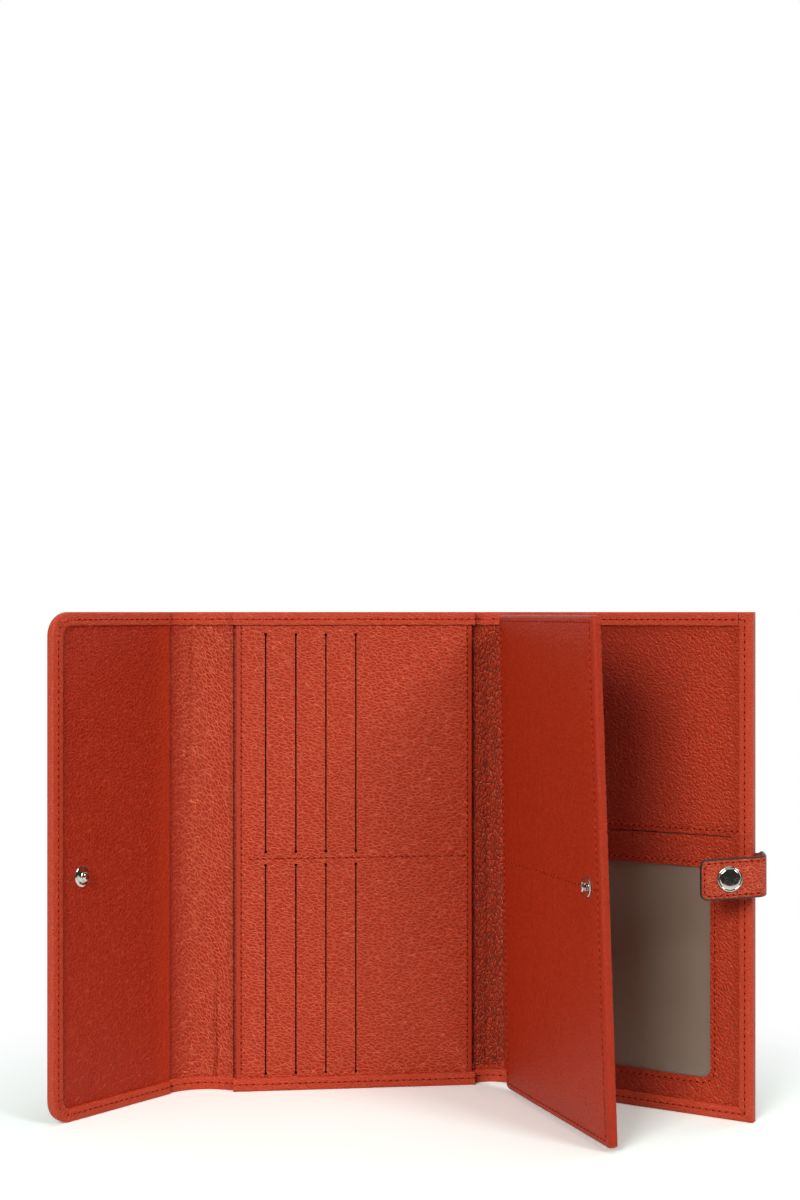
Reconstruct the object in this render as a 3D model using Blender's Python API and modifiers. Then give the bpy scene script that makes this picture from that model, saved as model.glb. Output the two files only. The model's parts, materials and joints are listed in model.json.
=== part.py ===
"""Travel wallet, standing open on its lower edges. Metres, +Z up.

The middle panel stands along X with the outside of its cover towards +Y. The flap hangs on its left
end by a narrow spine, the passport panel on its right end by another, and a page hangs in that spine.
Each moving piece is built in its own frame: X runs along the panel away from its fold, and Y = 0 is
the inner face of the cover leather, where the leather bends.
"""
import bmesh
import bpy
from math import cos, pi, radians, sin
from mathutils import Matrix, Vector

# Sizes of the cover
WALLET_HEIGHT = 0.200
MIDDLE_WIDTH = 0.1042
FLAP_SPINE_CHORD = 0.0262
FLAP_SPINE_BULGE = 0.004
FLAP_WIDTH = 0.0632
FLAP_CORNER_RADIUS = 0.009
SPINE_CHORD = 0.0201
SPINE_BULGE = 0.0045
PASSPORT_WIDTH = 0.1028
PASSPORT_CORNER_RADIUS = 0.0015
HEM_WIDTH = 0.0055
BULGE_STEPS = 10

# Thickness of each material, and the room between two layers
LEATHER = 0.0008
LEAF_LEATHER = 0.0007
STRIP_LEATHER = 0.0006
BOARD = 0.0006
LINING = 0.0002
POCKET_LINING = 0.00015
WINDOW_FILM = 0.00025
LAYER_GAP = 0.00025
SEAT_GAP = 0.0001
FOLD_GAP = 0.0003
EDGE_ROUND = 0.0007
EDGE_STEPS = 3
OVERRUN = 0.004

# How far each fold is turned inwards where the wallet stands open
FLAP_SPINE_TURN = radians(4.6)
FLAP_TURN = radians(39.3)
SPINE_TURN = radians(25.0)
PASSPORT_TURN = radians(12.5)
TAB_TURN = radians(28.0)
LEAF_STRIP_TURN = radians(73.4)
LEAF_TURN = radians(51.8)

# Card slits, in the middle panel and in the hidden face of the leaf
SLIT_COUNT = 4
SLIT_PITCH = 0.0126
SLIT_WIDTH = 0.0006
SLIT_END_RADIUS = 0.0006
FIRST_MIDDLE_SLIT = 0.0147
FIRST_LEAF_SLIT = 0.017
UPPER_SLIT_FOOT = 0.0997
UPPER_SLIT_LENGTH = 0.0908
LOWER_SLIT_FOOT = 0.0071
LOWER_SLIT_LENGTH = 0.087
POCKET_LEAD = 0.0025
POCKET_MARGIN = 0.0012
POCKET_SIDE_SEAM = 0.0035

# Passport panel
WINDOW_START = 0.022
WINDOW_WIDTH = 0.063
WINDOW_FOOT = 0.015
WINDOW_HEIGHT = 0.0836
WINDOW_CORNER_RADIUS = 0.004
WINDOW_LAP = 0.003
PASSPORT_SLIT_START = 0.010
PASSPORT_SLIT_LENGTH = 0.0844
PASSPORT_SLIT_HEIGHT = 0.1114

# Grained strip that lines the spine, and the tongue that carries the leaf
STRIP_FOOT = 0.0078
TONGUE_THICKNESS = 0.0009
TONGUE_PLACE = 0.0134
TONGUE_REACH = 0.0031
STRIP_LENGTH = 0.0073
LEAF_FOLD_GAP = 0.0008
STRIP_END_GAP = 0.0004
LEAF_LIP_GAP = 0.0002
LEAF_LIP = 0.0006
LEAF_WIDTH = 0.0936
LEAF_FOOT = 0.0015
LEAF_TOP_DROP = 0.0011
LEAF_CORNER_RADIUS = 0.003

# Closure tab
TAB_HEIGHT = 0.016
TAB_PLY = 0.0009
TAB_ROOT_LENGTH = 0.014
TAB_DEPTH = 0.0127
TAB_FOLD_GAP = 0.0012
TAB_LENGTH = 0.026
TAB_CORNER_RADIUS = 0.003
TAB_EDGE_CLEARANCE = 0.0003

# Press studs
SNAP_HEIGHT = 0.0972
FLAP_SNAP_HEIGHT = 0.0955
FLAP_STUD_PLACE = 0.0472
LEAF_STUD_INSET = 0.0124
TAB_CAP_PLACE = 0.0147
STUD_RADIUS = 0.0042
STUD_HEIGHT = 0.0026
KNOB_RADIUS = 0.00195
NECK_RADIUS = 0.0015
SHANK_RADIUS = 0.001
SHANK_CLEARANCE = 0.00025
SHANK_REACH = 0.0003
RECESS_DEPTH = 0.0007
SOCKET_RADIUS = 0.0044
SOCKET_HEIGHT = 0.0021
SOCKET_BASE = 0.00035
BORE_RADIUS = 0.0024
CAP_RADIUS = 0.005
CAP_HEIGHT = 0.0012
POST_RADIUS = 0.0034
POST_HEAD = 0.00035
TURNED_STEPS = 28

# Stations of each turned profile, as shares of its height or radius
STUD_KNOB_SHARES = {"top": 0.62, "widest": 0.92, "under": 0.72, "neck": 0.58, "foot": 0.36, "rim": 0.16}
SOCKET_CHAMFER_SHARE = 0.12
CAP_DOME_SHARES = ((0.35, 0.97), (0.62, 0.86), (0.82, 0.66), (0.94, 0.42), (1.0, 0.16))


def clear_scene():
    for item in list(bpy.data.objects):
        bpy.data.objects.remove(item, do_unlink=True)


def make_collection(name):
    collection = bpy.data.collections.new(name)
    bpy.context.scene.collection.children.link(collection)
    return collection


def make_material(name, colour, roughness, metallic=0.0, alpha=1.0):
    material = bpy.data.materials.new(name)
    material.use_nodes = True
    shader = material.node_tree.nodes["Principled BSDF"]
    shader.inputs["Base Color"].default_value = (*colour, 1.0)
    shader.inputs["Roughness"].default_value = roughness
    shader.inputs["Metallic"].default_value = metallic
    shader.inputs["Alpha"].default_value = alpha
    return material


def make_frame(name, parent=None, place=(0.0, 0.0), turn=0.0):
    """An empty on a fold line. Its X axis runs along the piece that hangs on it."""
    frame = bpy.data.objects.new(name, None)
    wallet.objects.link(frame)
    frame.parent = parent
    frame.location = (place[0], place[1], 0.0)
    frame.rotation_euler = (0.0, 0.0, turn)
    return frame


def bulge_at(x, bow):
    """How far a spine stands out at x. Its chord is negative where it runs towards -X."""
    chord, height = bow
    share = 2.0 * x / chord - 1.0
    return height * (1.0 - share * share)


def under(layer, thickness):
    """The next layer inwards, below the one given."""
    top = layer[0] - LAYER_GAP
    return (top - thickness, top)


def block_mesh(x_span, y_span, z_span, bow=None, corners=(), corner_radius=0.0, soft_sides=(), edge=0.0):
    """A flat or bulged sheet. Corners are rounded at the named X ends, and edges softened away from folds."""
    mesh = bmesh.new()
    spans = (x_span, y_span, z_span)
    size = Vector([high - low for low, high in spans])
    middle = Vector([(high + low) / 2.0 for low, high in spans])
    bmesh.ops.create_cube(mesh, size=1.0, matrix=Matrix.Translation(middle) @ Matrix.Diagonal((*size, 1.0)))
    near = min(size) / 10.0

    def runs_along(item, axis):
        start, end = item.verts
        return all(abs(start.co[i] - end.co[i]) < near for i in range(3) if i != axis)

    if corners:
        round_edges = [e for e in mesh.edges if runs_along(e, 1)
                       and any(abs(e.verts[0].co.x - x) < near for x in corners)]
        bmesh.ops.bevel(mesh, geom=round_edges, offset=corner_radius, segments=6, profile=0.5, affect="EDGES")
    if edge:
        def softened(item):
            flat = abs(item.verts[0].co.y - item.verts[1].co.y) < near
            ends = [x for x in x_span if x not in soft_sides]
            folded = any(all(abs(v.co.x - x) < near for v in item.verts) for x in ends)
            return flat and not folded
        soft_edges = [e for e in mesh.edges if softened(e)]
        bmesh.ops.bevel(mesh, geom=soft_edges, offset=edge, segments=EDGE_STEPS, profile=0.5, affect="EDGES")
    if bow:
        for number in range(BULGE_STEPS + 1):
            everything = mesh.verts[:] + mesh.edges[:] + mesh.faces[:]
            station = Vector((bow[0] * number / BULGE_STEPS, 0.0, 0.0))
            bmesh.ops.bisect_plane(mesh, geom=everything, plane_co=station, plane_no=(1.0, 0.0, 0.0))
        for vertex in mesh.verts:
            vertex.co.y += bulge_at(vertex.co.x, bow)
    bmesh.ops.recalc_face_normals(mesh, faces=mesh.faces)
    return mesh


def finish(name, mesh, parent, material, smooth=False):
    """Turn a bmesh into a named object of the wallet."""
    data = bpy.data.meshes.new(name)
    mesh.to_mesh(data)
    mesh.free()
    item = bpy.data.objects.new(name, data)
    wallet.objects.link(item)
    item.parent = parent
    item.data.materials.append(material)
    if smooth:
        data.shade_smooth()
        data.set_sharp_from_angle(angle=radians(35.0))
    return item


def sheet(name, x_span, y_span, z_span, parent, material, **shape):
    return finish(name, block_mesh(x_span, y_span, z_span, **shape), parent, material)


def cut(target, mesh, label):
    """Take a shape, given in the target's own frame, out of the target."""
    data = bpy.data.meshes.new(target.name + "_" + label)
    mesh.to_mesh(data)
    mesh.free()
    cutter = bpy.data.objects.new(data.name, data)
    cutters.objects.link(cutter)
    cutter.parent = target.parent
    cutter.location = target.location
    cutter.rotation_euler = target.rotation_euler
    cutter.hide_render = True
    cutter.display_type = "WIRE"
    modifier = target.modifiers.new(label, "BOOLEAN")
    modifier.operation = "DIFFERENCE"
    modifier.solver = "EXACT"
    modifier.object = cutter


def hole_mesh(places, radius, y_span, sides=16):
    """Round holes through a sheet, at (x, z) places, along Y."""
    mesh = bmesh.new()
    depth = y_span[1] - y_span[0]
    middle = (y_span[0] + y_span[1]) / 2.0
    for x, z in places:
        stand = Matrix.Translation((x, middle, z)) @ Matrix.Rotation(pi / 2.0, 4, "X")
        bmesh.ops.create_cone(mesh, cap_ends=True, segments=sides, radius1=radius, radius2=radius,
                              depth=depth, matrix=stand)
    return mesh


def slit_mesh(slits, y_span):
    """Straight slits through a sheet. Each is an (x, z) pair of spans."""
    mesh = bmesh.new()
    for x_span, z_span in slits:
        spans = (x_span, y_span, z_span)
        size = [high - low for low, high in spans]
        middle = [(high + low) / 2.0 for low, high in spans]
        bmesh.ops.create_cube(mesh, size=1.0, matrix=Matrix.Translation(middle) @ Matrix.Diagonal((*size, 1.0)))
    return mesh


def turned(name, profile, parent, place, outwards, material):
    """A turned piece. The profile gives (radius, height) from the leather, down its outer side."""
    data = bpy.data.meshes.new(name)
    closed = profile[0][0] > 0.0
    count = len(profile)
    edges = [(i, (i + 1) % count) for i in range(count if closed else count - 1)]
    data.from_pydata([(radius, 0.0, height) for radius, height in profile], edges, [])
    item = bpy.data.objects.new(name, data)
    wallet.objects.link(item)
    item.parent = parent
    item.location = place
    item.rotation_euler = (-pi / 2.0 if outwards else pi / 2.0, 0.0, 0.0)
    item.data.materials.append(material)
    screw = item.modifiers.new("turn", "SCREW")
    screw.steps = TURNED_STEPS
    screw.render_steps = TURNED_STEPS
    screw.use_merge_vertices = True
    screw.merge_threshold = 0.00001
    return item


def stud(name, parent, place, outwards=False):
    """Male half of a press stud: flange, neck and knob, hollow underneath for the shank of its post."""
    share = STUD_KNOB_SHARES
    profile = [(0.0, STUD_HEIGHT),
               (KNOB_RADIUS * share["top"], STUD_HEIGHT),
               (KNOB_RADIUS, STUD_HEIGHT * share["widest"]),
               (KNOB_RADIUS, STUD_HEIGHT * share["under"]),
               (NECK_RADIUS, STUD_HEIGHT * share["neck"]),
               (NECK_RADIUS, STUD_HEIGHT * share["foot"]),
               (STUD_RADIUS, STUD_HEIGHT * share["rim"]),
               (STUD_RADIUS, 0.0),
               (SHANK_RADIUS + SHANK_CLEARANCE, 0.0),
               (SHANK_RADIUS + SHANK_CLEARANCE, RECESS_DEPTH),
               (0.0, RECESS_DEPTH)]
    return turned(name, profile, parent, place, outwards, nickel)


def socket(name, parent, place, outwards=False):
    """Female half of a press stud: a ring with a bore for the knob and a base round the shank."""
    chamfer = SOCKET_HEIGHT * SOCKET_CHAMFER_SHARE
    profile = [(BORE_RADIUS + chamfer, SOCKET_HEIGHT),
               (SOCKET_RADIUS - chamfer, SOCKET_HEIGHT),
               (SOCKET_RADIUS, SOCKET_HEIGHT - chamfer),
               (SOCKET_RADIUS, 0.0),
               (SHANK_RADIUS + SHANK_CLEARANCE, 0.0),
               (SHANK_RADIUS + SHANK_CLEARANCE, SOCKET_BASE),
               (BORE_RADIUS, SOCKET_BASE),
               (BORE_RADIUS, SOCKET_HEIGHT - chamfer)]
    return turned(name, profile, parent, place, outwards, nickel)


def post(name, parent, place, shank_length, outwards=False):
    """Flat rivet inside a panel. Its shank runs through the leather into a stud or socket."""
    profile = [(0.0, POST_HEAD + shank_length),
               (SHANK_RADIUS, POST_HEAD + shank_length),
               (SHANK_RADIUS, POST_HEAD),
               (POST_RADIUS, POST_HEAD),
               (POST_RADIUS, 0.0),
               (0.0, 0.0)]
    return turned(name, profile, parent, place, outwards, nickel)


def domed_cap(name, parent, place, shank_length):
    """Visible cap of the tab's press stud, with the shank that goes down through the tab."""
    dome = [(CAP_RADIUS * wide, CAP_HEIGHT * high) for wide, high in CAP_DOME_SHARES]
    profile = [(0.0, CAP_HEIGHT)] + dome + [(CAP_RADIUS, 0.0), (SHANK_RADIUS, 0.0),
                                            (SHANK_RADIUS, -shank_length), (0.0, -shank_length)]
    return turned(name, profile, parent, place, False, nickel)


def full_rise():
    """Height span of a layer that lies inside the turned edges of the cover."""
    return (LEATHER + LAYER_GAP, WALLET_HEIGHT - LEATHER - LAYER_GAP)


def cover(name, parent, x_span, depth, open_ends, free_end=None, corner=0.0, bow=None, relief=0.0):
    """One section of the cover: a leather sheet turned over at its edges into a hem.

    The depth is the room inside. Open ends are folds. A relief keeps the hem back from a fold.
    """
    closed_ends = () if free_end is None else (free_end,)
    item = sheet(name, x_span, (-depth - LEATHER, LEATHER), (0.0, WALLET_HEIGHT), parent, red_leather,
                 bow=bow, corners=closed_ends if corner else (), corner_radius=corner,
                 soft_sides=closed_ends, edge=EDGE_ROUND)

    def inner_span(margin):
        low, high = x_span
        low += -OVERRUN if low in open_ends else margin
        high += OVERRUN if high in open_ends else -margin
        return (low, high)

    def rounded(margin):
        return {"corners": [x for x in inner_span(margin) if x not in outer_reach(margin)],
                "corner_radius": max(corner - margin, EDGE_ROUND)}

    def outer_reach(margin):
        return [x for x, end in zip(inner_span(margin), x_span) if end in open_ends]

    room = block_mesh(inner_span(LEATHER), (-depth, 0.0), (LEATHER, WALLET_HEIGHT - LEATHER), bow=bow,
                      **(rounded(LEATHER) if corner else {}))
    cut(item, room, "room")
    mouth = block_mesh(inner_span(HEM_WIDTH), (-depth - LEATHER - OVERRUN, -depth / 2.0),
                       (HEM_WIDTH, WALLET_HEIGHT - HEM_WIDTH), bow=bow,
                       **(rounded(HEM_WIDTH) if corner else {}))
    cut(item, mouth, "mouth")
    if relief:
        for number, x in enumerate(open_ends):
            side = 1.0 if x == x_span[0] else -1.0
            edge_span = sorted((x - side * OVERRUN, x + side * relief))
            notch = block_mesh(edge_span, (-depth - LEATHER - OVERRUN, -FOLD_GAP / 2.0),
                               (-OVERRUN, WALLET_HEIGHT + OVERRUN))
            cut(item, notch, "relief_" + str(number))
    return item


def slit_rows(first, count, pitch):
    """Spans of the card slits: an upper and a lower row."""
    slits = []
    for number in range(count):
        x = first + number * pitch
        for foot, length in ((UPPER_SLIT_FOOT, UPPER_SLIT_LENGTH), (LOWER_SLIT_FOOT, LOWER_SLIT_LENGTH)):
            slits.append(((x - SLIT_WIDTH / 2.0, x + SLIT_WIDTH / 2.0), (foot, foot + length)))
    return slits


def cut_card_slits(leather, first, layer):
    """Open the card slits, each with a small punched hole at both ends."""
    through = (layer[0] - LAYER_GAP / 2.0, layer[1] + LAYER_GAP / 2.0)
    slits = slit_rows(first, SLIT_COUNT, SLIT_PITCH)
    cut(leather, slit_mesh(slits, through), "slits")
    ends = [((x_span[0] + x_span[1]) / 2.0, z) for x_span, z_span in slits for z in z_span]
    cut(leather, hole_mesh(ends, SLIT_END_RADIUS, through, sides=8), "slit_ends")


def card_pockets(prefix, parent, first, end, deepest, towards):
    """Eight pocket linings, four upper and four lower, stepped behind their slits."""
    layer = deepest
    rows = (("upper", UPPER_SLIT_FOOT, UPPER_SLIT_LENGTH), ("lower", LOWER_SLIT_FOOT, LOWER_SLIT_LENGTH))
    for number in range(SLIT_COUNT):
        start = first + number * SLIT_PITCH - POCKET_LEAD
        for row, foot, length in rows:
            rise = (foot - POCKET_MARGIN, foot + length + POCKET_MARGIN)
            name = prefix + "_" + row + "_pocket_lining_" + str(number + 1)
            sheet(name, (start, end), layer, rise, parent, pocket_cloth)
        step = (POCKET_LINING + LAYER_GAP) * towards
        layer = (layer[0] + step, layer[1] + step)


def middle_panel(frame):
    """The root of the wallet: cover, board, note pocket lining and the leather with eight card slits."""
    relief = cover_inside(LEATHER) + FOLD_GAP
    inner = (relief, MIDDLE_WIDTH - relief)
    board = under((0.0, LEATHER), BOARD)
    lining = under(board, LINING)
    first_pocket = under(lining, POCKET_LINING)
    pocket_step = (POCKET_LINING + LAYER_GAP) * (SLIT_COUNT - 1)
    last_pocket = (first_pocket[0] - pocket_step, first_pocket[1] - pocket_step)
    front = under(last_pocket, LEATHER)
    x_span = (FOLD_GAP / 2.0, MIDDLE_WIDTH - FOLD_GAP / 2.0)
    cover("middle_cover", frame, x_span, -front[0] + LAYER_GAP, x_span, relief=relief)
    rise = full_rise()
    sheet("middle_board", inner, board, rise, frame, grey_board)
    sheet("note_pocket_lining", inner, lining, rise, frame, pocket_cloth)
    card_pockets("middle", frame, FIRST_MIDDLE_SLIT, inner[1] - POCKET_SIDE_SEAM, first_pocket, -1.0)
    leather = sheet("card_panel_leather", inner, front, rise, frame, red_leather)
    cut_card_slits(leather, FIRST_MIDDLE_SLIT, front)


def cover_inside(lining):
    """Depth of the inner layers of a spine: gap, lining, gap and hem."""
    return 2.0 * LAYER_GAP + lining + LEATHER


def flap_spine(frame):
    """Narrow section between the middle panel and the flap, with the end of the flap's lining."""
    bow = (-FLAP_SPINE_CHORD, FLAP_SPINE_BULGE)
    x_span = (-FLAP_SPINE_CHORD + FOLD_GAP / 2.0, -FOLD_GAP)
    cover("flap_spine_cover", frame, x_span, 2.0 * LAYER_GAP + LEATHER, x_span, bow=bow)
    sheet("flap_spine_lining", x_span, under((0.0, LEATHER), LEATHER), full_rise(), frame, red_leather, bow=bow)


def flap(frame):
    """Closing flap with rounded outer corners, its board, its lining and the stud that closes it."""
    relief = cover_inside(LEATHER) + FOLD_GAP
    board = under((0.0, LEATHER), BOARD)
    lining = under(board, LEATHER)
    depth = -lining[0] + LAYER_GAP
    x_span = (-FLAP_WIDTH, -FOLD_GAP / 2.0)
    cover("flap_cover", frame, x_span, depth, x_span[1:], free_end=x_span[0], corner=FLAP_CORNER_RADIUS,
          relief=relief)
    margin = LEATHER + LAYER_GAP
    inner = (-FLAP_WIDTH + margin, -relief)
    shape = {"corners": inner[:1], "corner_radius": FLAP_CORNER_RADIUS - margin}
    stiffener = sheet("flap_board", inner, board, full_rise(), frame, grey_board, **shape)
    leather = sheet("flap_lining", inner, lining, full_rise(), frame, red_leather, **shape)
    place = (-FLAP_STUD_PLACE, FLAP_SNAP_HEIGHT)
    cut(stiffener, hole_mesh([place], POST_RADIUS + LAYER_GAP, (board[0] - LAYER_GAP / 2.0,
                                                                board[1] + LAYER_GAP / 2.0)), "post_hole")
    cut(leather, hole_mesh([place], SHANK_RADIUS + SHANK_CLEARANCE, (lining[0] - LAYER_GAP / 2.0,
                                                                     lining[1] + LAYER_GAP / 2.0)), "shank_hole")
    stud("flap_stud", frame, (place[0], lining[0] - SEAT_GAP, place[1]))
    head = lining[1] + SEAT_GAP + POST_HEAD
    post("flap_stud_post", frame, (place[0], head, place[1]), LEATHER + 2.0 * SEAT_GAP + SHANK_REACH)


def spine(frame):
    """Wide fold between the middle panel and the passport panel, lined with a grained strip."""
    bow = (SPINE_CHORD, SPINE_BULGE)
    x_span = (FOLD_GAP, SPINE_CHORD - FOLD_GAP)
    cover("spine_cover", frame, x_span, 2.0 * LAYER_GAP + STRIP_LEATHER, x_span, bow=bow)
    strip = under((0.0, LEATHER), STRIP_LEATHER)
    sheet("spine_lining_strip", x_span, strip, (STRIP_FOOT, full_rise()[1]), frame, red_leather, bow=bow)
    half = TONGUE_THICKNESS / 2.0
    base = bulge_at(TONGUE_PLACE + half, bow) + strip[0] - LAYER_GAP
    sheet("leaf_hinge_tongue", (TONGUE_PLACE - half, TONGUE_PLACE + half), (-TONGUE_REACH + STRIP_END_GAP, base),
          hinge_rise(), frame, red_leather)


def leaf_rise():
    return (LEAF_FOOT, WALLET_HEIGHT - LEAF_TOP_DROP)


def hinge_rise():
    """Height span of the tongue and the strip. They end just short of the turned hems."""
    return (STRIP_FOOT + LAYER_GAP, WALLET_HEIGHT - HEM_WIDTH - LAYER_GAP)


def passport_panel(frame):
    """Panel with a slit pocket for a passport and a clear window, closed by the tab at its free edge."""
    relief = cover_inside(LEATHER) + FOLD_GAP
    board = under((0.0, LEATHER), BOARD)
    lining = under(board, LINING)
    film = under(lining, WINDOW_FILM)
    front = under(film, LEATHER)
    x_span = (FOLD_GAP / 2.0, PASSPORT_WIDTH)
    skin = cover("passport_cover", frame, x_span, -front[0] + LAYER_GAP, x_span[:1], free_end=x_span[1],
                 corner=PASSPORT_CORNER_RADIUS, relief=relief)
    margin = LEATHER + LAYER_GAP
    inner = (relief, PASSPORT_WIDTH - margin)
    rise = full_rise()
    stiffener = sheet("passport_board", inner, board, rise, frame, grey_board)
    sheet("passport_pocket_lining", inner, lining, rise, frame, taupe_satin)
    window_x = (WINDOW_START, WINDOW_START + WINDOW_WIDTH)
    window_z = (WINDOW_FOOT, WINDOW_FOOT + WINDOW_HEIGHT)
    lapped = [(low - WINDOW_LAP, high + WINDOW_LAP) for low, high in (window_x, window_z)]
    sheet("window_film", lapped[0], film, lapped[1], frame, clear_film)
    leather = sheet("passport_panel_leather", inner, front, rise, frame, red_leather)
    through = (front[0] - LAYER_GAP / 2.0, front[1] + LAYER_GAP / 2.0)
    cut(leather, block_mesh(window_x, through, window_z, corners=window_x, corner_radius=WINDOW_CORNER_RADIUS),
        "window")
    slit_z = (PASSPORT_SLIT_HEIGHT - SLIT_WIDTH / 2.0, PASSPORT_SLIT_HEIGHT + SLIT_WIDTH / 2.0)
    cut(leather, slit_mesh([((PASSPORT_SLIT_START, PASSPORT_SLIT_START + PASSPORT_SLIT_LENGTH), slit_z)], through),
        "slit")
    place = (MIDDLE_WIDTH - FLAP_STUD_PLACE, FLAP_SNAP_HEIGHT)
    cut(skin, hole_mesh([place], SHANK_RADIUS + SHANK_CLEARANCE, (-LAYER_GAP / 2.0, LEATHER + LAYER_GAP)),
        "shank_hole")
    cut(stiffener, hole_mesh([place], POST_RADIUS + LAYER_GAP, (board[0] - LAYER_GAP / 2.0,
                                                                board[1] + LAYER_GAP / 2.0)), "post_hole")
    socket("outer_socket", frame, (place[0], LEATHER + SEAT_GAP, place[1]), outwards=True)
    post("outer_socket_post", frame, (place[0], -SEAT_GAP - POST_HEAD, place[1]),
         LEATHER + 2.0 * SEAT_GAP + SHANK_REACH, outwards=True)


def tab_place():
    """Fold line of the tab in the passport panel's frame: behind the panel's free edge."""
    ply = TAB_PLY * 2.0
    return (PASSPORT_WIDTH + TAB_EDGE_CLEARANCE + ply / 2.0, LEATHER + SEAT_GAP + ply / 2.0)


def tab_rise():
    return (SNAP_HEIGHT - TAB_HEIGHT / 2.0, SNAP_HEIGHT + TAB_HEIGHT / 2.0)


def tab_root(frame):
    """The end of the tab that is sewn flat on the back of the passport panel."""
    x, y = tab_place()
    end = x - TAB_FOLD_GAP
    sheet("tab_root", (end - TAB_ROOT_LENGTH, end), (y - TAB_PLY, y + TAB_PLY), tab_rise(), frame, red_leather)


def tab(frame):
    """Strap that goes round the free edge and snaps on the leaf: two plies, the socket and its cap.

    In this frame the strap runs along -Y beside the panel's edge, then along -X in front of it.
    """
    axis_x, axis_y = tab_place()
    corner_y = -TAB_DEPTH - axis_y
    rise = tab_rise()
    outer_x = TAB_PLY
    outer_y = corner_y - 2.0 * TAB_PLY
    tip = outer_x - TAB_LENGTH
    outer = strap_ply("tab_leather", frame, (outer_x, outer_y), tip, TAB_PLY - LAYER_GAP / 2.0, rise)
    inner_corner = (outer_x - TAB_PLY - LAYER_GAP / 2.0, outer_y + TAB_PLY + LAYER_GAP / 2.0)
    inner = strap_ply("tab_lining", frame, inner_corner, tip, TAB_PLY - LAYER_GAP / 2.0, rise)
    place = (outer_x - TAB_CAP_PLACE, SNAP_HEIGHT)
    for ply in (outer, inner):
        cut(ply, hole_mesh([place], SHANK_RADIUS + SHANK_CLEARANCE, (outer_y - LAYER_GAP, corner_y + LAYER_GAP)),
            "shank_hole")
    domed_cap("tab_cap", frame, (place[0], outer_y - SEAT_GAP, place[1]), 2.0 * TAB_PLY + 2.0 * SEAT_GAP + SHANK_REACH)
    socket("tab_socket", frame, (place[0], corner_y + SEAT_GAP, place[1]), outwards=True)


def strap_ply(name, parent, corner, tip, thickness, rise):
    """One ply of the tab: a side leg from the fold line and a front leg to the rounded tip."""
    x, y = corner
    front = block_mesh((tip, x), (y, y + thickness), rise, corners=(tip,), corner_radius=TAB_CORNER_RADIUS)
    item = finish(name, front, parent, red_leather)
    side = block_mesh((x - thickness, x), (y, -TAB_FOLD_GAP), rise)
    join(item, side, "side")
    return item


def join(target, mesh, label):
    """Add a shape, given in the target's own frame, to the target."""
    data = bpy.data.meshes.new(target.name + "_" + label)
    mesh.to_mesh(data)
    mesh.free()
    addition = bpy.data.objects.new(data.name, data)
    cutters.objects.link(addition)
    addition.parent = target.parent
    addition.hide_render = True
    addition.display_type = "WIRE"
    modifier = target.modifiers.new(label, "BOOLEAN")
    modifier.operation = "UNION"
    modifier.solver = "EXACT"
    modifier.object = addition


def leaf_strip(frame):
    """Narrow strip between the tongue and the leaf. It bends at both ends."""
    half = TONGUE_THICKNESS / 2.0
    sheet("leaf_hinge_strip", (STRIP_END_GAP, STRIP_LENGTH - STRIP_END_GAP), (-half, half), hinge_rise(), frame,
          red_leather)


def leaf(frame):
    """Page with a plain front leather turned round its edges, and card slits in its hidden face."""
    thickness = 2.0 * LEAF_LEATHER + SLIT_COUNT * (POCKET_LINING + LAYER_GAP) + POCKET_LINING + 2.0 * LAYER_GAP
    half = thickness / 2.0
    x_span = (LEAF_FOLD_GAP, LEAF_FOLD_GAP + LEAF_WIDTH)
    rise = leaf_rise()
    front = sheet("leaf_front_leather", x_span, (-half, half), rise, frame, red_leather, corners=x_span,
                  corner_radius=LEAF_CORNER_RADIUS, soft_sides=x_span, edge=EDGE_ROUND)
    wall = LEAF_LEATHER
    inner_x = (x_span[0] + wall, x_span[1] - wall)
    inner_z = (rise[0] + wall, rise[1] - wall)
    cut(front, block_mesh(inner_x, (-half + wall, half + OVERRUN), inner_z, corners=inner_x,
                          corner_radius=LEAF_CORNER_RADIUS - wall), "room")
    join(front, block_mesh((LEAF_LIP_GAP, x_span[0] + wall / 2.0), (-LEAF_LIP / 2.0, LEAF_LIP / 2.0), hinge_rise()),
         "lip")
    clear_x = (inner_x[0] + LAYER_GAP, inner_x[1] - LAYER_GAP)
    clear_z = (inner_z[0] + LAYER_GAP, inner_z[1] - LAYER_GAP)
    fitted = {"corners": clear_x, "corner_radius": LEAF_CORNER_RADIUS - wall - LAYER_GAP}
    back_layer = (half - LEAF_LEATHER, half)
    back = sheet("leaf_back_leather", clear_x, back_layer, clear_z, frame, red_leather, **fitted)
    cut_card_slits(back, FIRST_LEAF_SLIT, back_layer)
    core_layer = (-half + wall + LAYER_GAP, -half + wall + LAYER_GAP + POCKET_LINING)
    core = sheet("leaf_core_lining", clear_x, core_layer, clear_z, frame, pocket_cloth, **fitted)
    deepest = (core_layer[1] + LAYER_GAP, core_layer[1] + LAYER_GAP + POCKET_LINING)
    card_pockets("leaf", frame, FIRST_LEAF_SLIT, clear_x[1] - POCKET_SIDE_SEAM, deepest, 1.0)
    place = (x_span[1] - LEAF_STUD_INSET, SNAP_HEIGHT)
    cut(front, hole_mesh([place], SHANK_RADIUS + SHANK_CLEARANCE, (-half - LAYER_GAP, -half + wall + LAYER_GAP / 2.0)),
        "shank_hole")
    cut(core, hole_mesh([place], POST_RADIUS + LAYER_GAP, (core_layer[0] - LAYER_GAP / 2.0,
                                                           core_layer[1] + LAYER_GAP / 2.0)), "post_hole")
    stud("leaf_stud", frame, (place[0], -half - SEAT_GAP, place[1]))
    head = -half + wall + SEAT_GAP + POST_HEAD
    post("leaf_stud_post", frame, (place[0], head, place[1]), wall + 2.0 * SEAT_GAP + SHANK_REACH)


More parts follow.
